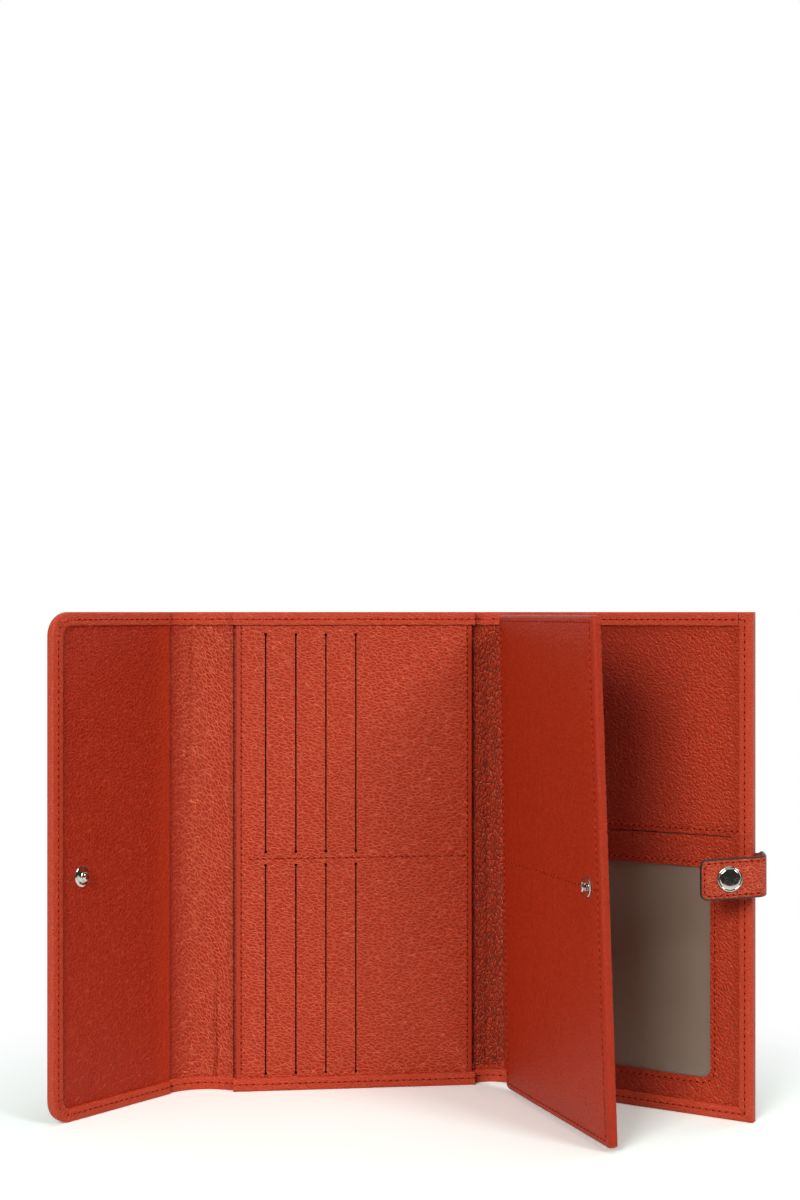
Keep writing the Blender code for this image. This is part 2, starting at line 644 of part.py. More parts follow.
def centre_on_floor(root):
    """Move the whole wallet so that the origin is below the middle of its outline."""
    bpy.context.view_layer.update()
    graph = bpy.context.evaluated_depsgraph_get()
    corners = []
    for item in wallet.objects:
        if item.type == "MESH":
            body = item.evaluated_get(graph)
            corners += [body.matrix_world @ Vector(corner) for corner in body.bound_box]
    low = [min(corner[axis] for corner in corners) for axis in range(2)]
    high = [max(corner[axis] for corner in corners) for axis in range(2)]
    root.location = (-(low[0] + high[0]) / 2.0, -(low[1] + high[1]) / 2.0, 0.0)
    bpy.context.view_layer.update()


clear_scene()
wallet = make_collection("travel_wallet")
cutters = make_collection("cutters")
red_leather = make_material("red leather", (0.42, 0.045, 0.018), 0.55)
pocket_cloth = make_material("pocket cloth", (0.16, 0.03, 0.02), 0.8)
taupe_satin = make_material("taupe satin", (0.12, 0.09, 0.07), 0.45)
grey_board = make_material("grey board", (0.32, 0.27, 0.22), 0.9)
clear_film = make_material("clear film", (0.8, 0.8, 0.8), 0.1, alpha=0.25)
nickel = make_material("nickel", (0.66, 0.63, 0.58), 0.2, metallic=1.0)

middle_frame = make_frame("middle_frame")
flap_spine_frame = make_frame("flap_spine_fold", middle_frame, turn=FLAP_SPINE_TURN)
flap_frame = make_frame("flap_fold", flap_spine_frame, (-FLAP_SPINE_CHORD, 0.0), FLAP_TURN)
spine_frame = make_frame("spine_fold", middle_frame, (MIDDLE_WIDTH, 0.0), -SPINE_TURN)
passport_frame = make_frame("passport_panel_fold", spine_frame, (SPINE_CHORD, 0.0), -PASSPORT_TURN)
tab_frame = make_frame("tab_fold", passport_frame, tab_place(), TAB_TURN)
strip_frame = make_frame("leaf_strip_fold", spine_frame, (TONGUE_PLACE, -TONGUE_REACH), -LEAF_STRIP_TURN)
leaf_frame = make_frame("leaf_fold", strip_frame, (STRIP_LENGTH, 0.0), LEAF_STRIP_TURN - LEAF_TURN)

middle_panel(middle_frame)
flap_spine(flap_spine_frame)
flap(flap_frame)
spine(spine_frame)
passport_panel(passport_frame)
tab_root(passport_frame)
tab(tab_frame)
leaf_strip(strip_frame)
leaf(leaf_frame)
centre_on_floor(middle_frame)
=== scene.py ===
import json
from math import atan2, cos, exp, hypot, pi, radians, sin

import bmesh
import bpy
from mathutils import Matrix, Vector


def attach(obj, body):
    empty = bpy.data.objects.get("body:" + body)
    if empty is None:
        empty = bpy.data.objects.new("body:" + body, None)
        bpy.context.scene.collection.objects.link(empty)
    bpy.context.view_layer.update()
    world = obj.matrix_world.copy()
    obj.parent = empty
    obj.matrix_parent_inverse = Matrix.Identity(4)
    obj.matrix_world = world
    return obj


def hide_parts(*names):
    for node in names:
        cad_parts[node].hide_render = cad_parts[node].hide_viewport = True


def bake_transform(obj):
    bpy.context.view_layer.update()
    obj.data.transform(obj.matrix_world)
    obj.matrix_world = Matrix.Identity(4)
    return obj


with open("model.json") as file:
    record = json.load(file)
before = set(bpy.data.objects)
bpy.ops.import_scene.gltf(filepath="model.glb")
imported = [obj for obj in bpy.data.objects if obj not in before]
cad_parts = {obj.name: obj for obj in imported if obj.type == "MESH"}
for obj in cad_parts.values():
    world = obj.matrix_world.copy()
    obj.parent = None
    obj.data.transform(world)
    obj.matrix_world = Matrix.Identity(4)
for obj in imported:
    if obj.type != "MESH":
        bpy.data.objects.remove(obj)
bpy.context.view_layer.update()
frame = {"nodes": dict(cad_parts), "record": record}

folds = {j["name"]: j["pos_m"] for j in frame["record"]["behaviour"]["joints"]}
mm = 0.001

# Each section of the wallet: its turn from the middle panel in degrees, the fold it starts at, and its body
sections = {"middle": (0.0, "flap_spine_fold", "middle_panel"),
            "flapSpine": (4.6, "flap_spine_fold", "flap_spine"),
            "flap": (43.9, "flap_fold", "flap"),
            "spine": (-25.0, "spine_fold", "spine"),
            "passport": (-37.5, "passport_panel_fold", "passport_panel"),
            "strip": (-98.4, "leaf_strip_fold", "leaf_strip"),
            "leaf": (-76.8, "leaf_turn", "leaf")}

# Shared sizes of the leather goods
wallet = {"height": 200 * mm, "leather": 0.8 * mm, "hem": 5.5 * mm, "edgeRound": 0.75 * mm, "foldTuck": 1.2 * mm,
          "cornerSteps": 20, "liningInset": 1.0 * mm}
tall = wallet["height"]
outside = wallet["leather"]  # the cover's outer face, counted from its inner one
tuck = wallet["foldTuck"]


class Value:
    # a shader socket that sums can be written with
    def __init__(self, maker, socket):
        self.maker = maker
        self.socket = socket

    def withMath(self, operation, first, second):
        return self.maker.node("ShaderNodeMath", {"operation": operation}, {0: first, 1: second})

    def __add__(self, other): return self.withMath("ADD", self, other)
    def __radd__(self, other): return self.withMath("ADD", other, self)
    def __sub__(self, other): return self.withMath("SUBTRACT", self, other)
    def __rsub__(self, other): return self.withMath("SUBTRACT", other, self)
    def __mul__(self, other): return self.withMath("MULTIPLY", self, other)
    def __rmul__(self, other): return self.withMath("MULTIPLY", other, self)
    def __truediv__(self, other): return self.withMath("DIVIDE", self, other)
    def __rpow__(self, other): return self.withMath("POWER", other, self)


class Finish:
    # the nodes of one material, or of the world
    def __init__(self, owner, kind="Material"):
        self.owner = owner
        owner.use_nodes = True
        self.tree = owner.node_tree
        self.tree.nodes.clear()
        self.output = self.tree.nodes.new("ShaderNodeOutput" + kind)

    def node(self, kind, settings=None, inputs=None, out=0):
        made = self.tree.nodes.new(kind)
        for key, value in (settings or {}).items():
            setattr(made, key, value)
        for key, value in (inputs or {}).items():
            socket = made.inputs[key]
            if isinstance(value, Value):
                self.tree.links.new(value.socket, socket)
            else:
                socket.default_value = (*value, 1.0) if socket.type == "RGBA" else value
        return Value(self, made.outputs[out])

    def smooth(self, value, low, high):
        return self.node("ShaderNodeMapRange", {"interpolation_type": "SMOOTHSTEP"},
                         {"Value": value, "From Min": low, "From Max": high})

    def mixColour(self, factor, first, second, blend="MIX"):
        return self.node("ShaderNodeMix", {"data_type": "RGBA", "blend_type": blend},
                         {0: factor, 6: first, 7: second}, out=2)

    def mixShader(self, factor, first, second):
        return self.node("ShaderNodeMixShader", {}, {0: factor, 1: first, 2: second})

    def objectPlace(self):
        return self.node("ShaderNodeTexCoord", out=3)

    def panelPlace(self):
        return self.node("ShaderNodeUVMap", {"uv_map": "panel"})

    def apart(self, place):
        first = self.node("ShaderNodeSeparateXYZ", {}, {0: place})
        return first, Value(self, first.socket.node.outputs[1])

    def noise(self, place, scale, detail=2.0, rough=0.5, out=0):
        return self.node("ShaderNodeTexNoise", {}, {"Vector": place, "Scale": scale, "Detail": detail,
                                                    "Roughness": rough}, out=out)

    def blotches(self, place, scale, detail=2.0, rough=0.5, low=0.3):
        return self.smooth(self.noise(place, scale, detail, rough), low, 0.7)

    def cells(self, place, scale):
        return self.node("ShaderNodeTexVoronoi", {"feature": "DISTANCE_TO_EDGE"},
                         {"Vector": place, "Scale": scale})

    def bump(self, height):
        return self.node("ShaderNodeBump", {}, {"Height": height, "Distance": 1.0, "Strength": 1.0})

    def shownAs(self, shader):
        self.tree.links.new(shader.socket, self.output.inputs["Surface"])
        return self.owner

    def principled(self, **inputs):
        named = {key.replace("_", " "): value for key, value in inputs.items()}
        return self.shownAs(self.node("ShaderNodeBsdfPrincipled", {}, named))


def newFinish(name):
    return Finish(bpy.data.materials.new(name))


# What all the leathers share. Scales are per metre, and shares run from 0 to 1.
# above is the shift towards the light that places the painted highlight on the pebbles' lit edges.
grain = {"driftScale": 330.0, "drift": (1.4 * mm, 1.4 * mm, 1.4 * mm),
         "above": (0.16 * mm, -0.04 * mm, 0.22 * mm), "smaller": 2.1, "domeWide": 0.30, "smallDomeWide": 0.26,
         "smallDepth": 0.38, "smallTint": 0.4, "mottleScale": 620.0, "mottleShare": 0.6,
         "toneScale": 14.0, "toneShare": 0.2, "lineFade": 0.3, "fineScale": 2300.0, "fineDepth": 0.18,
         "swellScale": 30.0, "swellRough": 0.45, "roughDrift": 0.14,
         "foldShare": 0.85, "edgeFrom": 0.009, "edgeTo": 0.0115, "edgeShare": 0.7, "edgeFlat": 0.75,
         "wanderScale": 60.0, "wander": 0.011}


def leatherFinish(name, look):
    f = newFinish(name)
    place = f.objectPlace()
    u, v = f.apart(f.panelPlace())
    drift = f.noise(place, grain["driftScale"], out=1)
    bent = f.node("ShaderNodeVectorMath", {"operation": "MULTIPLY_ADD"}, {0: drift, 1: grain["drift"], 2: place})
    # painted highlight: the grain shifted towards the light, whose cell edges give the lighter lines on the
    # pebbles' lit side
    lightShifted = f.node("ShaderNodeVectorMath", {"operation": "ADD"}, {0: bent, 1: grain["above"]})

    def pebbles(at):
        laid = f.node("ShaderNodeMapping", {"vector_type": "TEXTURE"},
                      {"Vector": at, "Rotation": look["lay"], "Scale": look["stretch"]})
        return f.cells(laid, look["grainScale"])
    pebble = pebbles(bent)
    dome = f.smooth(pebble, 0.0, grain["domeWide"])
    smallDome = f.smooth(f.cells(bent, look["grainScale"] * grain["smaller"]), 0.0, grain["smallDomeWide"])
    # painted shade: the crevices between the pebbles, darkened towards the deep colour below
    creviceShade = 1.0 - f.smooth(pebble, 0.0, look["creviceWide"])
    # painted highlight: the lit edge of each pebble, lightened towards the line colour below
    paintedHighlight = 1.0 - f.smooth(pebbles(lightShifted), 0.0, look["lineWide"])
    mottle = f.blotches(place, grain["mottleScale"], 3.0, 0.6)
    tone = f.blotches(place, grain["toneScale"])
    body = f.mixColour(mottle * grain["mottleShare"] + tone * grain["toneShare"], look["mid"], look["bright"])
    # painted shade in the crevices of the smaller cells
    body = f.mixColour((1.0 - smallDome) * (look["creviceTint"] * grain["smallTint"]), body, look["deep"])
    fade = grain["lineFade"]
    body = f.mixColour(paintedHighlight * look["lineTint"] * (1.0 - fade + fade * mottle), body, look["line"])
    body = f.mixColour(creviceShade * look["creviceTint"], body, look["deep"])
    # a colour fading in across the panel by the panel map: painted shade towards a fold on the pebbled panel and
    # the creased spine, lighter towards the fold on the flap lining
    fold = look.get("foldTone")
    if fold:
        body = f.mixColour(f.smooth(u, fold["from"], fold["full"]) * grain["foldShare"], body, fold["tone"])
    height = dome + smallDome * grain["smallDepth"] + f.noise(place, grain["fineScale"]) * grain["fineDepth"]
    swell = f.noise(place, grain["swellScale"], 2.0, grain["swellRough"])
    height = height * look["grainDepth"] + swell * look["swell"]
    for spot in look.get("foldedEdges", ()):
        away = f.node("ShaderNodeMath", {"operation": "ABSOLUTE"}, {0: u - spot})
        flat = 1.0 - f.smooth(away, grain["edgeFrom"], grain["edgeTo"])
        body = f.mixColour(flat * grain["edgeShare"], body, look["edgeTone"])
        height = height * (1.0 - grain["edgeFlat"] * flat)
    for crease in look.get("creases", ()):
        wander = (f.noise(place, grain["wanderScale"]) - 0.5) * grain["wander"]
        away = (u - crease["at"] - (v - 0.5) * crease["lean"] + wander) / crease["wide"]
        reach = f.smooth(v, crease["from"], crease["full"])
        height = height - exp(1.0) ** (away * away * -1.0) * reach * crease["depth"]
    rough = look["rough"] + grain["roughDrift"] * mottle + grain["roughDrift"] * creviceShade
    return f.principled(Base_Color=body, Roughness=rough, Normal=f.bump(height),
                        Specular_IOR_Level=look["shine"])


# Lay is the grain's direction and stretch its length. Folds, edges and creases are placed by the panel map,
# where 0.5 across is the section's start and 1 is one height of the wallet.
# In each look, line is the colour of the painted highlight on the pebbles' lit edges, and deep that of the painted
# shade in their crevices.
leatherLook = {"deep": (0.20, 0.008, 0.002), "mid": (0.47, 0.0285, 0.0060), "bright": (0.555, 0.0365, 0.0072),
               "line": (0.92, 0.185, 0.08), "lineTint": 0.75, "lineWide": 0.115, "creviceTint": 0.5,
               "creviceWide": 0.10, "grainScale": 780.0, "grainDepth": 0.20 * mm, "stretch": (1.9, 1.0, 1.0),
               "lay": (0.0, 0.2, 0.0), "swell": 0.5 * mm, "shine": 0.30, "rough": 0.40}
cardLook = {**leatherLook, "foldedEdges": [0.512, 1.009], "edgeTone": (0.40, 0.026, 0.007)}
hemLook = {**leatherLook, "grainScale": 1100.0, "grainDepth": 0.11 * mm, "swell": 0.3 * mm, "lineTint": 0.45,
           "creviceTint": 0.35, "mid": (0.52, 0.038, 0.009), "bright": (0.63, 0.052, 0.014)}
smoothLook = {**leatherLook, "mid": (0.375, 0.0150, 0.0016), "bright": (0.44, 0.0195, 0.0025),
              "line": (0.66, 0.09, 0.035), "grainDepth": 0.17 * mm, "lineTint": 0.6, "creviceTint": 0.3,
              "lay": (0.0, 0.8, 0.0), "stretch": (1.0, 1.0, 1.6), "swell": 0.4 * mm, "shine": 0.20, "rough": 0.33,
              "foldTone": {"from": 0.435, "full": 0.502, "tone": (0.50, 0.035, 0.007)}}
# The creased spine's foldTone is painted shade: darker towards the flap's fold.
flapSpineLook = {
    **leatherLook, "mid": (0.43, 0.027, 0.0065), "bright": (0.505, 0.035, 0.0075), "grainScale": 760.0,
    "lineTint": 0.78, "lay": (0.0, 0.9, 0.0),
    "foldTone": {"from": 0.420, "full": 0.362, "tone": (0.36, 0.016, 0.003)},
    "creases": [{"at": 0.472, "lean": 0.004, "wide": 0.0032, "from": 0.40, "full": 0.05, "depth": 1.1 * mm},
                {"at": 0.420, "lean": 0.010, "wide": 0.0080, "from": 0.45, "full": 0.9, "depth": 0.7 * mm},
                {"at": 0.462, "lean": -0.05, "wide": 0.0130, "from": 0.55, "full": 0.97, "depth": 1.2 * mm}]}
leafSlits = [17.0 * mm, 29.6 * mm, 42.2 * mm, 54.8 * mm]  # the slits on the page's back print through faintly
pageLook = {**smoothLook, "mid": (0.395, 0.0235, 0.005), "bright": (0.46, 0.031, 0.0064), "grainDepth": 0.08 * mm,
            "lineTint": 0.25, "foldTone": None,
            "creases": [{"at": 0.5 + x / tall, "lean": 0.0, "wide": 0.0022, "from": 0.02, "full": 0.08,
                         "depth": 0.10 * mm} for x in leafSlits]}
# The pebbled panel's foldTone is painted shade: darker towards its fold, where the page's shadow falls.
pebbleLook = {**leatherLook, "mid": (0.52, 0.034, 0.0082), "bright": (0.615, 0.044, 0.0092), "grainScale": 730.0,
              "grainDepth": 0.30 * mm, "line": (0.85, 0.14, 0.06), "lineTint": 0.65, "creviceTint": 0.65,
              "creviceWide": 0.14, "lineWide": 0.15, "lay": (0.0, -0.95, 0.0), "stretch": (1.0, 1.0, 1.8),
              "shine": 0.22, "foldTone": {"from": 0.95, "full": 0.66, "tone": (0.27, 0.015, 0.004)}}
stripLook = {**pebbleLook, "foldTone": None, "mid": (0.58, 0.043, 0.013), "bright": (0.73, 0.062, 0.018),
             "line": (1.0, 0.26, 0.13), "grainScale": 760.0, "grainDepth": 0.5 * mm, "creviceTint": 1.0,
             "creviceWide": 0.17, "lineTint": 1.0, "lineWide": 0.16, "lay": (0.0, 0.2, 0.0),
             "stretch": (1.0, 1.0, 2.2),
             "creases": [{"at": at, "lean": lean, "wide": 0.0050, "from": -0.3, "full": -0.2, "depth": 0.35 * mm}
                         for at, lean in ((0.523, 0.004), (0.549, -0.006), (0.572, 0.005))]}
tabLook = {**leatherLook, "mid": (0.42, 0.031, 0.008), "bright": (0.53, 0.043, 0.0105), "grainScale": 900.0,
           "grainDepth": 0.16 * mm, "swell": 0.15 * mm, "lay": (0.0, -0.5, 0.0)}
plainLooks = {"red thread": {"dark": (0.40, 0.028, 0.008), "light": (0.60, 0.055, 0.018), "scale": 900.0,
                             "rough": 0.5, "depth": 0.03 * mm},
              # painted shade: dark flats that stand for the shade in the needle holes
              "needle hole": {"dark": (0.075, 0.004, 0.0015), "light": (0.12, 0.006, 0.002), "scale": 900.0,
                              "rough": 0.8, "depth": 0.02 * mm},
              "dark edge paint": {"dark": (0.022, 0.008, 0.006), "light": (0.050, 0.016, 0.010), "scale": 320.0,
                                  "rough": 0.38, "depth": 0.05 * mm, "shine": 0.5},
              "pocket cloth": {"dark": (0.06, 0.006, 0.003), "light": (0.10, 0.010, 0.005), "scale": 1500.0,
                               "rough": 0.8, "depth": 0.03 * mm},
              "grey board": {"dark": (0.28, 0.25, 0.21), "light": (0.38, 0.34, 0.29), "scale": 700.0,
                             "rough": 0.85, "depth": 0.03 * mm}}
satinLook = {"dark": (0.262, 0.210, 0.163), "light": (0.322, 0.270, 0.215), "twill": (0.31, 0.26, 0.21),
             "twillShare": 0.18, "twillScale": 190.0, "twillBend": 0.4, "twillDepth": 0.02 * mm,
             "sheenScale": 14.0, "sheen": 0.25, "sheenRough": 0.4, "rough": 0.42, "roughDrift": 0.1,
             "waveScale": 40.0, "waveDepth": 0.35 * mm}
filmLook = {"rippleScale": 45.0, "rippleDepth": 0.5 * mm, "rough": 0.16, "tint": (0.93, 0.93, 0.92),
            "gloss": 0.05, "slantGloss": 0.6}
nickelLook = {"dark": (0.56, 0.535, 0.485), "light": (0.66, 0.635, 0.585), "hazeScale": 420.0, "rough": 0.07,
              "hazeRough": 0.08, "brushScale": 900.0, "brushDepth": 0.004 * mm}


def plainFinish(name, look):
    f = newFinish(name)
    tone = f.blotches(f.objectPlace(), look["scale"], 3.0, 0.6)
    colour = f.mixColour(tone, look["dark"], look["light"])
    return f.principled(Base_Color=colour, Roughness=look["rough"] + 0.1 * tone,
                        Specular_IOR_Level=look.get("shine", 0.1), Normal=f.bump(tone * look["depth"]))


def satinFinish(look):
    f = newFinish("taupe satin lining")
    place = f.objectPlace()
    twill = f.node("ShaderNodeTexWave", {"bands_direction": "DIAGONAL"},
                   {"Vector": f.panelPlace(), "Scale": look["twillScale"], "Distortion": look["twillBend"]})
    colour = f.mixColour(f.blotches(place, look["sheenScale"]), look["dark"], look["light"])
    colour = f.mixColour(twill * look["twillShare"], colour, look["twill"])
    height = twill * look["twillDepth"] + f.noise(place, look["waveScale"]) * look["waveDepth"]
    return f.principled(Base_Color=colour, Roughness=look["rough"] + look["roughDrift"] * twill,
                        Normal=f.bump(height), Sheen_Weight=look["sheen"], Sheen_Roughness=look["sheenRough"])


def filmFinish(look):
    # clear plastic mirrors more from the side, whichever face is seen
    f = newFinish("clear film")
    ripple = f.bump(f.noise(f.objectPlace(), look["rippleScale"]) * look["rippleDepth"])
    gloss = f.node("ShaderNodeBsdfGlossy", {},
                   {"Color": (1.0, 1.0, 1.0), "Roughness": look["rough"], "Normal": ripple})
    clear = f.node("ShaderNodeBsdfTransparent", {}, {"Color": look["tint"]})
    slant = f.node("ShaderNodeLayerWeight", {}, {"Blend": 0.5}, out=1)
    sharp = slant * slant * slant * slant * slant
    return f.shownAs(f.mixShader(sharp * look["slantGloss"] + look["gloss"], clear, gloss))


def nickelFinish(look):
    f = newFinish("polished nickel")
    place = f.objectPlace()
    haze = f.blotches(place, look["hazeScale"], 3.0, 0.6, low=0.35)
    return f.principled(Base_Color=f.mixColour(haze, look["dark"], look["light"]), Metallic=1.0,
                        Roughness=look["rough"] + look["hazeRough"] * haze,
                        Normal=f.bump(f.noise(place, look["brushScale"]) * look["brushDepth"]))


coverLeather = leatherFinish("cover leather", leatherLook)
hemLeather = leatherFinish("turned hem leather", hemLook)
panelLeather = leatherFinish("panel leather", leatherLook)
cardLeather = leatherFinish("card panel leather", cardLook)
smoothLeather = leatherFinish("smooth leather", smoothLook)
pageLeather = leatherFinish("page leather", pageLook)
passportLeather = leatherFinish("pebbled panel leather", pebbleLook)
flapSpineLeather = leatherFinish("creased spine leather", flapSpineLook)
stripLeather = leatherFinish("pebbled strip leather", stripLook)
tabLeather = leatherFinish("tab leather", tabLook)
thread, needleHoleShade, edgePaint, pocketCloth, greyBoard = (plainFinish(*item) for item in plainLooks.items())
satin = satinFinish(satinLook)
film = filmFinish(filmLook)
nickel = nickelFinish(nickelLook)
print("finishes made")


def clearSelection():
    if bpy.context.object and bpy.context.object.mode != "OBJECT":
        bpy.ops.object.mode_set(mode="OBJECT")
    for item in list(bpy.context.selected_objects):
        item.select_set(False)


def choose(item):
    clearSelection()
    item.select_set(True)
    bpy.context.view_layer.objects.active = item


def openEdit(item, kind="FACE"):
    choose(item)
    bpy.ops.object.mode_set(mode="EDIT")
    bpy.ops.mesh.select_mode(type=kind)
    bpy.ops.mesh.select_all(action="DESELECT")


def closeEdit():
    bpy.ops.object.mode_set(mode="OBJECT")


def pickAll():
    bpy.ops.mesh.select_all(action="SELECT")


def pick(item, kind, test):
    # the test gets a vertex's place, an edge's two ends, or a face's middle and normal
    openEdit(item, kind)
    mesh = bmesh.from_edit_mesh(item.data)
    if kind == "VERT":
        found = [(part, (part.co,)) for part in mesh.verts]
    elif kind == "EDGE":
        found = [(part, (part.verts[0].co, part.verts[1].co)) for part in mesh.edges]
    else:
        found = [(part, (part.calc_center_median(), part.normal)) for part in mesh.faces]
    for part, facts in found:
        part.select_set(bool(test(*facts)))
    mesh.select_flush_mode()
    bmesh.update_edit_mesh(item.data)


def bakePlace(location=True, rotation=True, scale=True):
    bpy.ops.object.transform_apply(location=location, rotation=rotation, scale=scale)


def addShape(name, add, scale=(1.0, 1.0, 1.0), **settings):
    clearSelection()
    add(**settings)
    item = bpy.context.object
    item.name = name
    item.scale = scale
    bakePlace()
    return item


def addBox(name, x, y, z):
    spans = (x, y, z)
    return addShape(name, bpy.ops.mesh.primitive_cube_add, [high - low for low, high in spans], size=1.0,
                    location=[(low + high) / 2.0 for low, high in spans])


def near(a, b, gap=0.01 * mm):
    return abs(a - b) < gap


def edgeAt(a, b, axis, spot):
    # both ends of an edge lie at this spot of the axis
    return near(a[axis], spot) and near(b[axis], spot)


def edgeThrough(a, b, x=None):
    # the edge runs through the thickness, at this x if one is given
    return near(a.x, b.x) and near(a.z, b.z) and (x is None or near(a.x, x))


def clamp(value, low=0.0, high=1.0):
    return min(max(value, low), high)


def spread(low, high, count):
    return [low + (high - low) * (n + 1) / (count + 1) for n in range(count)]


def divide(item, axis, stations):
    openEdit(item)
    for station in stations:
        pickAll()
        place = [0.0, 0.0, 0.0]
        normal = [0.0, 0.0, 0.0]
        place[axis] = station
        normal[axis] = 1.0
        bpy.ops.mesh.bisect(plane_co=place, plane_no=normal)
    closeEdit()


def bevelPicked(item, test, width, steps=3, kind="EDGE"):
    pick(item, kind, test)
    affect = "EDGES" if kind == "EDGE" else "VERTICES"
    bpy.ops.mesh.bevel(offset=width, segments=steps, profile=0.5, affect=affect)
    closeEdit()


def useModifier(item, kind, **settings):
    choose(item)
    modifier = item.modifiers.new(kind.title(), kind)
    for key, value in settings.items():
        setattr(modifier, key, value)
    bpy.ops.object.modifier_apply(modifier=modifier.name)


def cutWith(item, cutter):
    useModifier(item, "BOOLEAN", operation="DIFFERENCE", solver="EXACT", object=cutter)
    bpy.data.objects.remove(cutter, do_unlink=True)


def joinAll(name, items):
    clearSelection()
    for item in items:
        item.select_set(True)
    bpy.context.view_layer.objects.active = items[0]
    bpy.ops.object.join()
    items[0].name = name
    return items[0]


def shapeBy(item, move):
    for vertex in item.data.vertices:
        vertex.co = move(vertex.co)


def markPanel(item):
    layer = item.data.uv_layers.get("panel") or item.data.uv_layers.new(name="panel")
    for loop in item.data.loops:
        place = item.data.vertices[loop.vertex_index].co
        layer.data[loop.index].uv = (place.x / tall + 0.5, place.z / tall)


def dress(item, *finishes):
    item.data.materials.clear()
    for finish in finishes:
        item.data.materials.append(finish)


def smoothShade(item, angle):
    choose(item)
    bpy.ops.object.shade_smooth_by_angle(angle=radians(angle))


def sectionMatrix(section):
    turn, fold, body = sections[section]
    x, y, z = folds[fold]
    return Matrix.Translation((x, y, 0.0)) @ Matrix.Rotation(radians(turn), 4, "Z")


def worldPoint(section, x):
    return tuple(sectionMatrix(section) @ Vector((x, 0.0, tall / 2.0)))


pageLean = {"shift": 1.5 * mm, "twist": 1.2}  # the page hangs a little askew


def lowShare(z):
    # 1 at the foot, -1 at the top
    return 1.0 - 2.0 * z / tall


def leanPage(item):
    x, y, z = folds["leaf_turn"]
    for vertex in item.data.vertices:
        low = lowShare(vertex.co.z)
        turn = Matrix.Rotation(radians(pageLean["twist"]) * low, 2)
        spot = turn @ Vector((vertex.co.x - x, vertex.co.y - y))
        vertex.co.x = x + spot.x + pageLean["shift"] * low
        vertex.co.y = y + spot.y


def finishPiece(item, section, finish=None, replaced=(), ride=True, bow=None,
                angle=40.0):
    # a piece shaped in its section's own frame is coloured, smoothed and stood in its place
    if bow:
        shapeBy(item, bow)
    markPanel(item)
    if finish is not None:
        dress(item, finish)
    smoothShade(item, angle)
    item.data.transform(sectionMatrix(section))
    if section == "leaf":
        leanPage(item)
    if ride:
        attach(item, sections[section][2])
    if replaced:
        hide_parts(*replaced)
    return item


def coverSkin(name, x, look, closed=None, cuts=()):
    item = addBox(name, x, (0.0, outside), (0.0, tall))
    if "corner" in look:
        bevelPicked(item, lambda a, b: edgeThrough(a, b, closed), look["corner"], wallet["cornerSteps"])

    def outer(a, b):
        opened = any(edgeAt(a, b, 0, end) for end in x if end != closed)
        return edgeAt(a, b, 1, outside) and not opened
    bevelPicked(item, outer, wallet["edgeRound"])
    divide(item, 0, cuts)
    return item


lip = {"round": 0.4 * mm, "step": 1.7 * mm, "sway": 0.22 * mm, "lift": 0.16 * mm, "later": 0.3, "reach": 12 * mm}
gather = {"count": 24.0, "depth": 0.22 * mm, "sink": 0.4}


def hemRing(name, x, look, closed=None, cuts=()):
    # the cover's edge turned over its front: a flat frame made thick, open at the folds
    front = look["hemFront"]
    corner = look.get("corner", 0.0)
    hem = look.get("hem", wallet["hem"])
    low = x[0] if x[0] == closed else x[0] - lip["reach"]
    high = x[1] if x[1] == closed else x[1] + lip["reach"]
    item = addShape(name, bpy.ops.mesh.primitive_plane_add, (high - low, tall, 1.0), size=1.0,
                    rotation=(pi / 2.0, 0.0, 0.0), location=((low + high) / 2.0, front, tall / 2.0))
    if corner:
        bevelPicked(item, lambda p: near(p.x, closed), corner, wallet["cornerSteps"], kind="VERT")
    pick(item, "FACE", lambda c, n: True)
    bpy.ops.mesh.inset(thickness=hem, depth=0.0)
    bpy.ops.mesh.delete(type="FACE")
    for end, sign in zip(x, (-1.0, 1.0)):
        if end != closed:
            pickAll()
            bpy.ops.mesh.bisect(plane_co=(end, 0.0, 0.0), plane_no=(sign, 0.0, 0.0), clear_outer=True)
    closeEdit()
    useModifier(item, "SOLIDIFY", thickness=-front, offset=-1.0)

    def onOuterArc(a, b):
        far = abs(closed) - corner
        middle = (a + b) / 2.0
        edge = min(middle.z, tall - middle.z)
        return abs(middle.x) > far and edge < corner and \
            hypot(abs(middle.x) - far, corner - edge) > corner - hem / 2.0

    def frontOuter(a, b):
        if not edgeAt(a, b, 1, front):
            return False
        rim = near(a.z, b.z) and (near(a.z, 0.0) or near(a.z, tall))
        side = closed is not None and edgeAt(a, b, 0, closed)
        slanted = not near(a.z, b.z) and not near(a.x, b.x)
        return rim or side or (corner and slanted and onOuterArc(a, b))
    bevelPicked(item, frontOuter, wallet["edgeRound"])

    def frontInner(a, b):
        atEnd = any(edgeAt(a, b, 0, end) for end in x if end != closed)
        inside = any(min(p.z, tall - p.z) > hem * 0.8 for p in (a, b))
        return edgeAt(a, b, 1, front) and inside and not atEnd
    bevelPicked(item, frontInner, lip["round"])
    divide(item, 0, cuts or spread(x[0], x[1], int((x[1] - x[0]) / lip["step"])))
    if closed is not None:
        divide(item, 2, spread(0.0, tall, int(tall / lip["step"])))
    ruffle(item, closed, corner, hem, front)
    if corner:
        pleat(item, closed, corner, hem, front)
    return item


def wave(spot):
    return 0.5 * sin(spot * 1310.0) + 0.3 * sin(spot * 2870.0 + 1.0) + 0.2 * sin(spot * 517.0 + 2.0)


